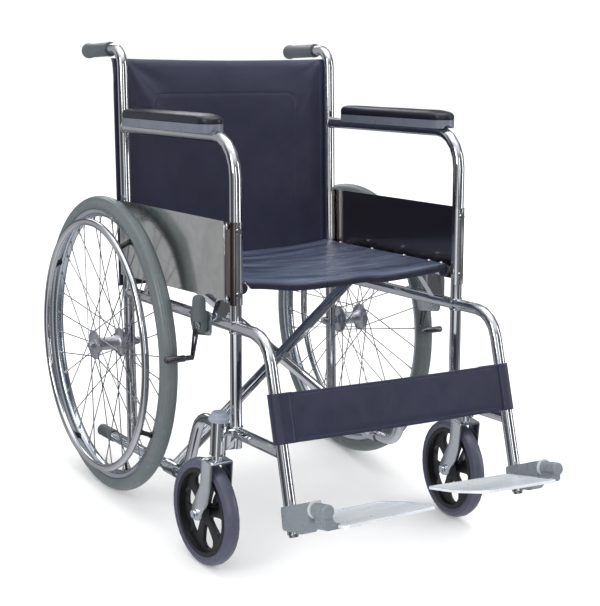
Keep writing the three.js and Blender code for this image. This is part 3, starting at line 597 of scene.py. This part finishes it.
def stitches(name, path, normal, length=0.0032, gap=0.0018, radius=0.00042, lift=0.0002):
    """Thread that dips in and out along a path of points. normal points off the cloth."""
    b = Build()
    total, marks = 0.0, [0.0]
    for i in range(1, len(path)):
        total += (path[i] - path[i - 1]).length
        marks.append(total)

    def at(distance):
        i = min(max(int(np.searchsorted(marks, distance)), 1), len(path) - 1)
        t = (distance - marks[i - 1]) / max(marks[i] - marks[i - 1], 1e-9)
        return path[i - 1].lerp(path[i], t)

    for k in range(int(total / (length + gap))):
        start = k * (length + gap)
        line = []
        for t, height in ((0, -0.0004), (0.12, lift), (0.5, lift * 1.8), (0.88, lift), (1, -0.0004)):
            line.append(at(start + length * t) + normal * height)
        b.tube(line, radius, 5)
    return b.piece(name, THREAD, 60)


def close_up(o):
    """Gives the piece its own copy of its mesh."""
    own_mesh(o)


BACK = {"low": 0.418, "high": 0.880, "half": 0.261}
BACK_OPEN = 0.236  # half the width between the canes
CANE_BEND_Z, CANE_BEND_INSIDE = 0.862, 0.0229  # where the canes start to bend, and their inner radius there
SEAM = {"half": 0.1705, "top": 0.807, "low": 0.470, "corner": 0.022}


def seam_distance(x, z):
    """How far a point of the back lies from the pressed outline, a rectangle with round corners."""
    dx = abs(x) - (SEAM["half"] - SEAM["corner"])
    middle, half = (SEAM["top"] + SEAM["low"]) / 2, (SEAM["top"] - SEAM["low"]) / 2
    dz = abs(z - middle) - (half - SEAM["corner"])
    return abs(math.hypot(max(dx, 0), max(dz, 0)) + min(max(dx, dz), 0) - SEAM["corner"])


def back_point(x, z, extra=0.0):
    """The middle of the back's cloth."""
    high = BACK["high"] - 0.0045 * (1 - (x / BACK["half"]) ** 2)
    z = min(z, high)
    across = max(0.0, 1 - (x / BACK_OPEN) ** 2)
    up = (z - BACK["low"]) / (BACK["high"] - BACK["low"])
    belly = 0.0105 * across ** 0.8 * (0.55 + 0.9 * up * (1 - up) + 0.25 * (1 - up))
    crease = 0.0
    for corner in (-BACK_OPEN, BACK_OPEN):
        dx, dz = abs(x - corner), BACK["high"] - z
        angle = math.atan2(dz, dx + 1e-6)
        reach = math.hypot(dx, dz)
        crease += 0.0028 * fold(angle, 0.55, 0.28) * fold(reach, 0.085, 0.10)
        crease -= 0.0022 * fold(angle, 1.02, 0.22) * fold(reach, 0.10, 0.11)
    free = across ** 0.3
    crease += 0.0011 * ripple(3.0 * x, 9.0 * z, 3.1) * free + 0.0005 * ripple(16 * x, 22 * z, 8.7) * free
    crease += 0.0018 * fold(z, 0.858, 0.022) * ripple(9 * x, 0.3, 1.4) * free
    wrap = max(0.0, abs(x) - 0.248)
    lean = CANE_BEND_INSIDE - math.sqrt(CANE_BEND_INSIDE ** 2 - max(0.0, z - CANE_BEND_Z) ** 2)
    y = cane_y(z) + TUBE_R + 0.0021 + lean + belly + crease - 6.0 * wrap * wrap + extra
    ridge = 0.0010 * fold(z, SEAM["top"], 0.06) + 0.0002
    y += ridge * (1 - min(1.0, seam_distance(x, z) / 0.0028) ** 2)
    return tilted(x, y, z)


def back_sling():
    columns, rows = 209, 183
    low, high, half = BACK["low"], BACK["high"], BACK["half"]
    points = [back_point(half * (2 * i / (columns - 1) - 1), low + (high - low) * j / (rows - 1))
              for j in range(rows) for i in range(columns)]
    o = solid_sheet("back_cloth", points, grid_faces(columns, rows), MATERIALS["vinyl"], 0.0024)
    place(o, "right_frame", ["back_sling"])
    close_up(o)
    seams = [[back_point(-0.228 + 0.456 * t / 150, z, -0.0014) for t in range(151)]
             for z in (high - 0.015, high - 0.018, low + 0.012)]
    seams += [[back_point(x, low + 0.014 + (high - low - 0.034) * t / 150, -0.0014) for t in range(151)]
              for x in (-0.2305, 0.2305)]
    wide, corner = SEAM["half"] - SEAM["corner"], SEAM["corner"]
    outline = [(-SEAM["half"], SEAM["top"] - 0.040)]
    outline += [(-wide + corner * math.cos(a), SEAM["top"] - corner + corner * math.sin(a))
                for a in (math.radians(180 - 10 * t) for t in range(10))]
    outline += [(-x, z) for x, z in reversed(outline)]
    dense = []
    for (ax, az), (bx, bz) in zip(outline, outline[1:]):
        steps = max(1, int(math.hypot(bx - ax, bz - az) / 0.004))
        dense += [(ax + (bx - ax) * t / steps, az + (bz - az) * t / steps) for t in range(steps)]
    seams.append([back_point(x, z, -0.0013) for x, z in dense])
    for k, path in enumerate(seams):
        thread = stitches(f"back_stitching_{k}", path, tilt_direction(0, -1, 0))
        place(thread, "right_frame")
        close_up(thread)


SEAT_ARC = 0.0132  # from the rail's axis to the middle of the cloth
SEAT_SCREWS = (-0.072, -0.195, -0.311, -0.397, -0.437)
LIP_STEPS, LIP_ROUND, LIP_DROP, LIP_RADIUS = 9, 5, 0.0118, 0.0042  # the front hem: rows, rows in its bend, depth


def seat_section(u):
    """Where the seat runs across the chair, for u from -1 to 1: round the outside of a rail, then over to the other."""
    side = -1 if u < 0 else 1
    t = abs(u)
    if t > 0.9:
        angle = math.radians(90 - 100 * (t - 0.9) / 0.1)
        return side * (RAIL_X + SEAT_ARC * math.cos(angle)), RAIL_Z + SEAT_ARC * math.sin(angle)
    return side * RAIL_X * t / 0.9, RAIL_Z + SEAT_ARC


def seat_point(u, v, extra=0.0):
    """The middle of the seat's cloth. v runs from the front edge, 0, to the rear edge, 1."""
    x, z = seat_section(u)
    y = SEAT_FRONT + (SEAT_REAR - SEAT_FRONT) * v
    across = max(0.0, 1 - (x / RAIL_X) ** 2) if abs(u) <= 0.9 else 0.0
    dip = 0.0140 - 0.0035 * v + 0.003 * v * v
    z -= dip * across ** 0.85
    ease = across ** 0.45
    z += ease * 0.0015 * ripple(3.0 * x + 0.8 * v, 9.5 * v + 2.2 * x, 4.2)
    z += ease * 0.0011 * ripple(5.5 * x, 26 * v + 6 * x, 9.4)
    z += ease * 0.0005 * ripple(14 * x, 58 * v - 9 * x, 2.9)
    z += ease * 0.0034 * fold(x - 0.25 * v, 0.03, 0.055) * fold(v, 0.0, 0.28)
    z -= ease * 0.0036 * fold(x + 0.35 * v, -0.11, 0.075) * fold(v, 0.0, 0.34)
    for screw in SEAT_SCREWS:
        for side in (-1, 1):
            dx, dv = x - side * 0.214, y - screw
            z -= 0.0012 * fold(math.hypot(dx * 0.6, dv), 0, 0.016) * (1 if abs(u) <= 0.9 else 0)
    z += extra
    return tilted(x, y, z)


def seat_sling():
    columns, rows = 241, 151
    us = [2 * i / (columns - 1) - 1 for i in range(columns)]
    points = []
    for k in range(LIP_STEPS, 0, -1):  # the front hem rolls down and hangs
        angle = math.pi / 2 * min(1.0, k / LIP_ROUND)
        hanging = max(0, k - LIP_ROUND) / (LIP_STEPS - LIP_ROUND) * (LIP_DROP - LIP_RADIUS)
        drop = LIP_RADIUS * (1 - math.cos(angle)) + hanging
        out = LIP_RADIUS * math.sin(angle)
        for u in us:
            inner = max(0.0, min(1.0, (0.885 - abs(u)) / 0.05))
            inner = inner * inner * (3 - 2 * inner)
            top = seat_point(u, 0.0)
            points.append(top + tilt_direction(0, -out * max(inner, 0.12), -drop * max(inner, 0.10)))
    for k in range(rows):
        points += [seat_point(u, k / (rows - 1)) for u in us]
    o = solid_sheet("seat_cloth", points, grid_faces(columns, rows + LIP_STEPS), SEAT_VINYL, 0.0024)
    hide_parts("seat_sling")
    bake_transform(o)
    seams = [[seat_point(-0.87 + 1.74 * t / 200, v, 0.0014) for t in range(201)] for v in (0.020, 0.965)]
    seams += [[seat_point(u, 0.02 + 0.945 * t / 150, 0.0014) for t in range(151)] for u in (-0.862, 0.862)]
    for k, path in enumerate(seams):
        thread = stitches(f"seat_stitching_{k}", path, tilt_direction(0, 0, 1))
        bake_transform(thread)


STRAP = {"along": 0.139, "down": 0.046, "up": 0.041, "reach": TUBE_R + 0.0011}
STRAP_SAG = 0.0016
HEM = 0.0058  # from the strap's edges to their stitching
LOOP_LIFT = 0.0014  # the loops lie on the band
LOOP_FLAP = {"right": 0.021, "left": 0.015}  # from the hanger's axis to the flap's end in front
LOOP_TAIL = 0.040
HANGER_FRONT = Vector((0, HANGER_DIR.z, -HANGER_DIR.y))


def strap_point(x, h, out):
    """h runs up the hangers from the strap's middle and out is the distance in front of their axis."""
    p = HANGER_TOP + HANGER_DIR * (STRAP["along"] - h) + HANGER_FRONT * out
    return tilted(x, p.y, p.z)


def between_hangers(x):
    """0 at the hangers and 1 midway."""
    return max(0.0, 1 - (x / SIDE_X) ** 2)


def band_out(x, h):
    """The band hangs a little back between the hangers, and more along its lower edge."""
    across = between_hangers(x)
    low = max(0.0, (-h - 0.030) / 0.016)
    return STRAP["reach"] - 0.0035 * across - 0.0022 * low * math.sqrt(across)


def calf_band():
    down, up = STRAP["down"], STRAP["up"]
    columns, rows = 161, 37
    points = []
    for j in range(rows):
        h = -down + (down + up) * j / (rows - 1)
        edge = min(h + down, up - h)
        for i in range(columns):
            x = -SIDE_X + 2 * SIDE_X * i / (columns - 1)
            across = between_hangers(x)
            out = band_out(x, h) + 0.0007 * across ** 0.3 * ripple(7 * x, 20 * h, 5.5)
            out += 0.0003 * max(0.0, 1 - edge / 0.004) - 0.0005 * fold(edge, HEM, 0.002)
            points.append(strap_point(x, h - STRAP_SAG * across, out))
    o = solid_sheet("calf_band", points, grid_faces(columns, rows), MATERIALS["vinyl"], 0.0018)
    place(o, "right_frame", ["calf_strap"])
    close_up(o)
    threads = []
    for k, h in enumerate((-down + HEM, up - HEM)):
        xs = [-0.216 + 0.432 * t / 120 for t in range(121)]
        path = [strap_point(x, h - STRAP_SAG * between_hangers(x), band_out(x, h) + 0.0007) for x in xs]
        thread = stitches(f"calf_stitching_{k}", path, tilt_direction(0, HANGER_FRONT.y, HANGER_FRONT.z))
        threads.append(place(thread, "right_frame"))
        close_up(thread)
    return o, threads


def strap_loop(side, sg):
    """The strap's end, sewn round the hanger: a flap in front, half a turn, and a tail behind."""
    down, up, reach = STRAP["down"], STRAP["up"], STRAP["reach"]
    radius, flap = reach + LOOP_LIFT, LOOP_FLAP[side]
    columns, rows = 29, 37
    points = []
    for j in range(rows):
        h = -down - 0.0004 + (down + up + 0.0008) * j / (rows - 1)
        edge = min(h + down, up - h)
        grow = 1 + 0.0002 * max(0.0, 1 - edge / 0.004) / reach
        for i in range(columns):
            t = i / (columns - 1)
            angle = math.pi * (t - 0.25) / 0.5
            if t < 0.25:
                along, out = -flap + flap * t / 0.25, radius
            elif t < 0.75:
                along, out = radius * math.sin(angle), radius * math.cos(angle)
            else:
                along, out = -LOOP_TAIL * (t - 0.75) / 0.25, -radius
            points.append(strap_point(sg * (SIDE_X + along * grow), h, out * grow))
    loop = solid_sheet(f"{side}_strap_loop", points, grid_faces(columns, rows), MATERIALS["vinyl"], 0.0013)
    place(outward(loop), f"{side}_frame")
    x = sg * (SIDE_X - flap + 0.0025)
    path = [strap_point(x, -down + 0.004 + (down + up - 0.008) * t / 40, reach + 0.0021) for t in range(41)]
    thread = stitches(f"{side}_loop_stitching", path, tilt_direction(0, HANGER_FRONT.y, HANGER_FRONT.z))
    place(thread, f"{side}_frame")


def calf_strap():
    band, threads = calf_band()
    for side, sg in SIDES:
        strap_loop(side, sg)


# ---------------- arm pads
def arm_pad(side, sg):
    """A moulded foam pad with a full, rounded upper edge and a shallow crown."""
    forward = 0.0 if sg < 0 else 0.038  # the left pad sits further forward
    front, rear, half = -0.384 - forward, -0.030 - forward, 0.026
    bottom = ARM_TUBE_Z + 0.0213  # on top of the base strip
    front_r, rear_r = 0.024, 0.010

    base = []
    corners = ((-1, 1, front_r, front), (1, 1, front_r, front), (1, -1, rear_r, rear), (-1, -1, rear_r, rear))
    for k, (sx, way, r, end) in enumerate(corners):
        cx, cy = sx * (half - r), end + way * r
        arc = (math.pi + math.pi / 2 * (k + t / 9) for t in range(10))
        base += [(cx + r * math.cos(a), cy + r * math.sin(a)) for a in arc]
    dense = []
    for (ax, ay), (bx, by) in zip(base, base[1:] + base[:1]):
        steps = max(1, int(math.hypot(bx - ax, by - ay) / 0.007))
        dense += [(ax + (bx - ax) * t / steps, ay + (by - ay) * t / steps) for t in range(steps)]

    # inset from the outline and height of each ring of points, from the base to the crown
    levels = [(0.0016, 0.0), (0.0003, 0.0006), (0.0, 0.0018), (0.0, 0.0075), (0.0005, 0.0100), (0.0018, 0.0126),
              (0.0040, 0.0147), (0.0070, 0.0163), (0.0108, 0.0174), (0.0150, 0.0180), (0.0195, 0.0183)]
    points = []
    for inset, rise in levels:
        for x, y in dense:
            spine = min(max(y, front + half), rear - 0.016)
            reach = math.hypot(x, y - spine)
            keep = max(0.0, 1 - inset / reach)
            px, py = x * keep, spine + (y - spine) * keep
            pinch = 0.0004 * ripple(px * 20, py * 14, 6.1) if rise > 0.012 else 0
            droop = 0.0035 * fold(py, front, 0.045) * rise / levels[-1][1]
            points.append(tilted(sg * (SIDE_X + px), py, bottom + rise + pinch - droop))
    n = len(dense)
    faces = [(k * n + i, k * n + (i + 1) % n, (k + 1) * n + (i + 1) % n, (k + 1) * n + i)
             for k in range(len(levels) - 1) for i in range(n)]
    top = (len(levels) - 1) * n
    faces += [tuple(range(n))[::-1], tuple(range(top, top + n))]
    o = outward(mesh_piece(side + "_arm_cushion", points, faces, MATERIALS["pad_vinyl"], 50))
    b = bmesh.new()
    b.from_mesh(o.data)
    bmesh.ops.triangulate(b, faces=[f for f in b.faces if len(f.verts) > 4])
    b.to_mesh(o.data)
    b.free()
    place(o, side + "_frame", [side + "_arm_pad"])


# ---------------- screws, washers, plugs and weld beads
def dome_screw(b, at, axis, radius=0.0045, height=0.0024, washer=0.0066):
    """A round head with a recess, on a washer."""
    axis = Vector(axis).normalized()
    b.lathe([[0, 0.0009], [washer, 0.0009], [washer + 0.0004, 0.0005], [washer + 0.0002, 0], [0, 0]],
            at, axis, 24)
    head = [[radius * math.cos(a), 0.0009 + height * math.sin(a)] for a in (math.radians(9 * k) for k in range(8))]
    b.lathe([[0, 0.0009], *head, [radius * 0.28, 0.0009 + height * 0.96], [radius * 0.22, 0.0009 + height * 0.62],
             [0, 0.0009 + height * 0.60]], at, axis, 24)


def bead(b, at, axis, radius, thick=0.0016, sides=40):
    """A weld bead round a tube where it meets another."""
    axis = Vector(axis).normalized()
    u = axis.orthogonal().normalized()
    v = axis.cross(u)
    loop = []
    for k in range(sides):
        a = 2 * math.pi * k / sides
        wave = 1 + 0.02 * math.sin(9 * a)
        loop.append(Vector(at) + (u * math.cos(a) + v * math.sin(a)) * radius * wave)
    b.tube(loop, thick, 8, closed=True)


BLOCK_FRONT = 0.045  # from the footplate's hinge origin to the front of its clamp block
FOOT_HINGE_Y, FOOT_HINGE_Z, FOOT_PITCH = -0.700, 0.2078, math.radians(16)


def back_screws(side, sg):
    """Screws that hold the back's cloth, seen from behind."""
    b = Build()
    for z in (0.440, 0.520, 0.610, 0.700, 0.790, 0.855):
        dome_screw(b, tilted(sg * SIDE_X, cane_y(z) + TUBE_R + 0.0033, z), tilt_direction(0, 1, 0))
    place(b.piece(side + "_back_screws", MATERIALS["zinc_hardware"], 35), side + "_frame")


def seat_rail(side, sg):
    """Screws along the seat rail, and the plug in its front end."""
    rail = "brace_a" if sg > 0 else "brace_b"
    b = Build()
    for y in SEAT_SCREWS:
        at = tilted(sg * RAIL_X, y, RAIL_Z + SEAT_ARC + 0.0011)
        dome_screw(b, at, tilt_direction(0, 0, 1), 0.0038, 0.0022, 0.0054)
    place(b.piece(side + "_seat_screws", MATERIALS["zinc_hardware"], 35), rail)
    b = Build()
    b.lathe([[0, 0], [0.0104, 0], [0.0106, 0.0006], [0.0096, 0.0014], [0.0060, 0.0019], [0, 0.0021]],
            tilted(sg * RAIL_X, RAIL_FRONT, RAIL_Z), tilt_direction(0, -1, 0), 28)
    place(b.piece(side + "_rail_plug", SEAT_VINYL), rail)


def hanger_cap(side, sg):
    """The cap on the foot of the hanger, below the clamp block."""
    b = Build()
    end = HANGER_TOP + HANGER_DIR * 0.338
    b.lathe([[0, 0.0004], [0.0108, 0.0004], [0.0110, 0.0012], [0.0088, 0.0020], [0.0084, 0.0058], [0.0074, 0.0066],
             [0, 0.0068]], tilted(sg * SIDE_X, end.y, end.z), tilt_direction(0, HANGER_DIR.y, HANGER_DIR.z), 28)
    place(b.piece(side + "_hanger_cap", MATERIALS["zinc_hardware"]), side + "_frame")


def panel_fold(side, sg):
    """The fold along the front of the skirt's flat plate, with two screws on the rolled part."""
    b = Build()
    outer = sg * (SIDE_X + TUBE_R + 0.0021)
    b.tube([tilted(outer, PANEL_FOLD, z) for z in (0.4505, 0.452, 0.594, 0.5955)],
           [0.0004, 0.0013, 0.0013, 0.0004], 10)
    for z in (0.4575, 0.5885):
        dome_screw(b, tilted(sg * (SIDE_X + 0.0148), -0.4525, z), (sg, 0, 0), 0.0042, 0.0024, 0.0062)
    place(b.piece(side + "_panel_fold", MATERIALS["chromed_tube"], 60), side + "_frame")


def weld_beads(side, sg):
    """Beads where the tubes of a side frame meet."""
    b = Build()
    for z in (ARM_TUBE_Z, MAIN_TUBE_Z):
        bead(b, tilted(sg * SIDE_X, cane_y(z) - TUBE_R * 0.92, z), tilt_direction(0, 1, 0), 0.0113)
    for z in (MAIN_TUBE_Z + TUBE_R * 0.92, MAIN_TUBE_Z - TUBE_R * 0.92, LOW_TUBE_Z + TUBE_R * 0.95):
        bead(b, tilted(sg * SIDE_X, POST_Y, z), tilt_direction(0, 0, 1), 0.0113)
    place(b.piece(side + "_weld_beads", MATERIALS["zinc_hardware"], 60), side + "_frame")


def hinge_washer(side, sg):
    """The pale washer between the footplate's barrel and its block."""
    b = Build()
    axis = Vector((0, -math.cos(FOOT_PITCH), math.sin(FOOT_PITCH)))
    hinge = Vector((sg * SIDE_X, AXLE_Y + FOOT_HINGE_Y, FOOT_HINGE_Z))
    start, end = BLOCK_FRONT + 0.0002, BLOCK_FRONT + 0.0052
    b.lathe([[0.0092, start], [0.0149, start], [0.0153, start + 0.0004], [0.0153, end - 0.0004], [0.0149, end],
             [0.0092, end]], hinge, axis, 40, ring=True)
    place(b.piece(side + "_hinge_washer", NYLON), side + "_foot_support")


seat_sling()
back_sling()
calf_strap()
for side, sg in SIDES:
    for make in (arm_pad, back_screws, seat_rail, hanger_cap, panel_fold, weld_beads, hinge_washer):
        make(side, sg)

# ---------------- stage, light and camera
# what polished metal mirrors near the horizon: azimuth from the chair's front towards its left, and grey
ROOM = ((-180, 0.12), (-168, 0.14), (-158, 0.42), (-128, 0.45), (-120, 0.10), (-84, 0.06), (-74, 0.22), (-56, 0.20),
        (-50, 1.05), (-40, 0.92), (-34, 0.22), (4, 0.18), (12, 0.11), (54, 0.11), (58, 0.75), (70, 0.65), (76, 0.12),
        (100, 0.10), (112, 0.28), (160, 0.18), (180, 0.12))
# and above and below it: the sine of the elevation, and grey
SKY = ((-1.0, 0.66), (-0.60, 0.50), (0.40, 0.30), (0.60, 0.60), (0.80, 1.05), (1.0, 0.95))


def ramp(tree, stops, low, high, factor):
    """A colour ramp of greys over stops whose places run from low to high."""
    made = tree.nodes.new("ShaderNodeValToRGB")
    for k, (at, grey) in enumerate(stops):
        place_on = (at - low) / (high - low)
        stop = made.color_ramp.elements[k] if k < 2 else made.color_ramp.elements.new(place_on)
        stop.position, stop.color = place_on, (grey * 0.97, grey * 0.99, grey * 1.03, 1)
    tree.links.new(factor, made.inputs[0])
    return made.outputs["Color"]


def studio():
    """A world: a white room that lights the chair evenly, and a darker one with bright strips for its reflections."""
    world = bpy.data.worlds.new("studio")
    bpy.context.scene.world = world
    world.use_nodes = True
    tree = world.node_tree

    def node(kind, *inputs, **settings):
        made = tree.nodes.new("ShaderNode" + kind)
        for key, value in settings.items():
            setattr(made, key, value)
        for index, value in enumerate(inputs):
            if isinstance(value, bpy.types.NodeSocket):
                tree.links.new(value, made.inputs[index])
            elif value is not None:
                made.inputs[index].default_value = value
        return made

    direction = node("TexCoord").outputs["Generated"]
    split = node("SeparateXYZ", direction)
    forward = node("Math", split.outputs["Y"], -1.0, operation="MULTIPLY").outputs[0]
    azimuth = node("Math", split.outputs["X"], forward, operation="ARCTAN2").outputs[0]
    turn = node("MapRange", azimuth, -math.pi, math.pi, 0.0, 1.0).outputs[0]
    height = node("MapRange", split.outputs["Z"], -1.0, 1.0, 0.0, 1.0).outputs[0]
    room = ramp(tree, ROOM, -180, 180, turn)
    sky = ramp(tree, SKY, -1, 1, height)
    off_level = node("Math", split.outputs["Z"], operation="ABSOLUTE").outputs[0]
    away = node("MapRange", off_level, 0.42, 0.72, 0.0, 1.0).outputs[0]
    mirrored = node("Mix", data_type="RGBA")
    tree.links.new(away, mirrored.inputs[0])
    tree.links.new(room, mirrored.inputs[6])
    tree.links.new(sky, mirrored.inputs[7])
    white = tree.nodes["Background"]
    white.inputs["Color"].default_value = (1, 1, 1, 1)
    white.inputs["Strength"].default_value = 1.0
    reflected = node("Background", mirrored.outputs[2], 1.0)
    glossy = node("LightPath").outputs["Is Glossy Ray"]
    both = node("MixShader", glossy, white.outputs[0], reflected.outputs[0])
    tree.links.new(both.outputs[0], tree.nodes["World Output"].inputs["Surface"])


def softbox(name, at, size, power):
    """A rectangular lamp that faces the chair's middle."""
    light = bpy.data.lights.new(name, "AREA")
    light.shape, light.size, light.size_y, light.energy = "RECTANGLE", size[0], size[1], power
    o = bpy.data.objects.new(name, light)
    o.location = at
    o.rotation_mode = "QUATERNION"
    o.rotation_quaternion = (Vector(at) - Vector((0, 0, 0.45))).to_track_quat("Z", "Y")
    bpy.context.scene.collection.objects.link(o)


def stage():
    """A plain pale floor, the world and five softboxes."""
    data = bpy.data.meshes.new("floor")
    data.from_pydata([(-60, -60, 0), (60, -60, 0), (60, 60, 0), (-60, 60, 0)], [], [(0, 1, 2, 3)])
    floor = bpy.data.objects.new("floor", data)
    s = Shader("floor", Base_Color=(0.95, 0.95, 0.95, 1), Roughness=0.9, Specular_IOR_Level=0.1,
               Emission_Color=(1, 1, 1, 1), Emission_Strength=0.10)
    data.materials.append(s.material)
    bpy.context.scene.collection.objects.link(floor)
    floor.visible_glossy = False
    studio()
    softbox("key_left", (-3.4, -1.6, 2.6), (1.2, 2.4), 45)
    softbox("fill_right", (3.6, -2.2, 1.8), (0.7, 2.6), 24)
    softbox("overhead", (0.2, 0.3, 3.6), (3.0, 3.0), 48)
    softbox("front_strip", (-0.6, -4.2, 1.9), (0.5, 2.2), 14)
    softbox("rear", (0.8, 3.6, 2.2), (1.8, 1.6), 20)


# azimuth, elevation and roll in degrees, focal length, and place: x and y from the rear axle's middle, z from the floor
CAMERA = {"angles": (-31.86, 14.784, 3.433), "focal_px": 1432.02, "from_axle": (-1.45218, -2.59808, 1.15640)}


def camera():
    """The photograph's camera, solved from the photograph."""
    az, el, roll = (math.radians(v) for v in CAMERA["angles"])
    right = Vector((math.cos(az), math.sin(az), 0))
    back = Vector((math.sin(az) * math.cos(el), -math.cos(az) * math.cos(el), math.sin(el)))
    up = back.cross(right)
    across = right * math.cos(roll) + up * math.sin(roll)
    upward = -right * math.sin(roll) + up * math.cos(roll)
    data = bpy.data.cameras.new("camera")
    data.sensor_width, data.lens = 36, 36 * CAMERA["focal_px"] / 606
    data.clip_start, data.clip_end = 0.05, 200
    o = bpy.data.objects.new("camera", data)
    x, y, z = CAMERA["from_axle"]
    o.matrix_world = Matrix.Translation((x, AXLE_Y + y, z)) @ Matrix((across, upward, back)).transposed().to_4x4()
    bpy.context.scene.collection.objects.link(o)
    bpy.context.scene.camera = o


stage()
camera()
bpy.context.scene.view_settings.view_transform = "Standard"
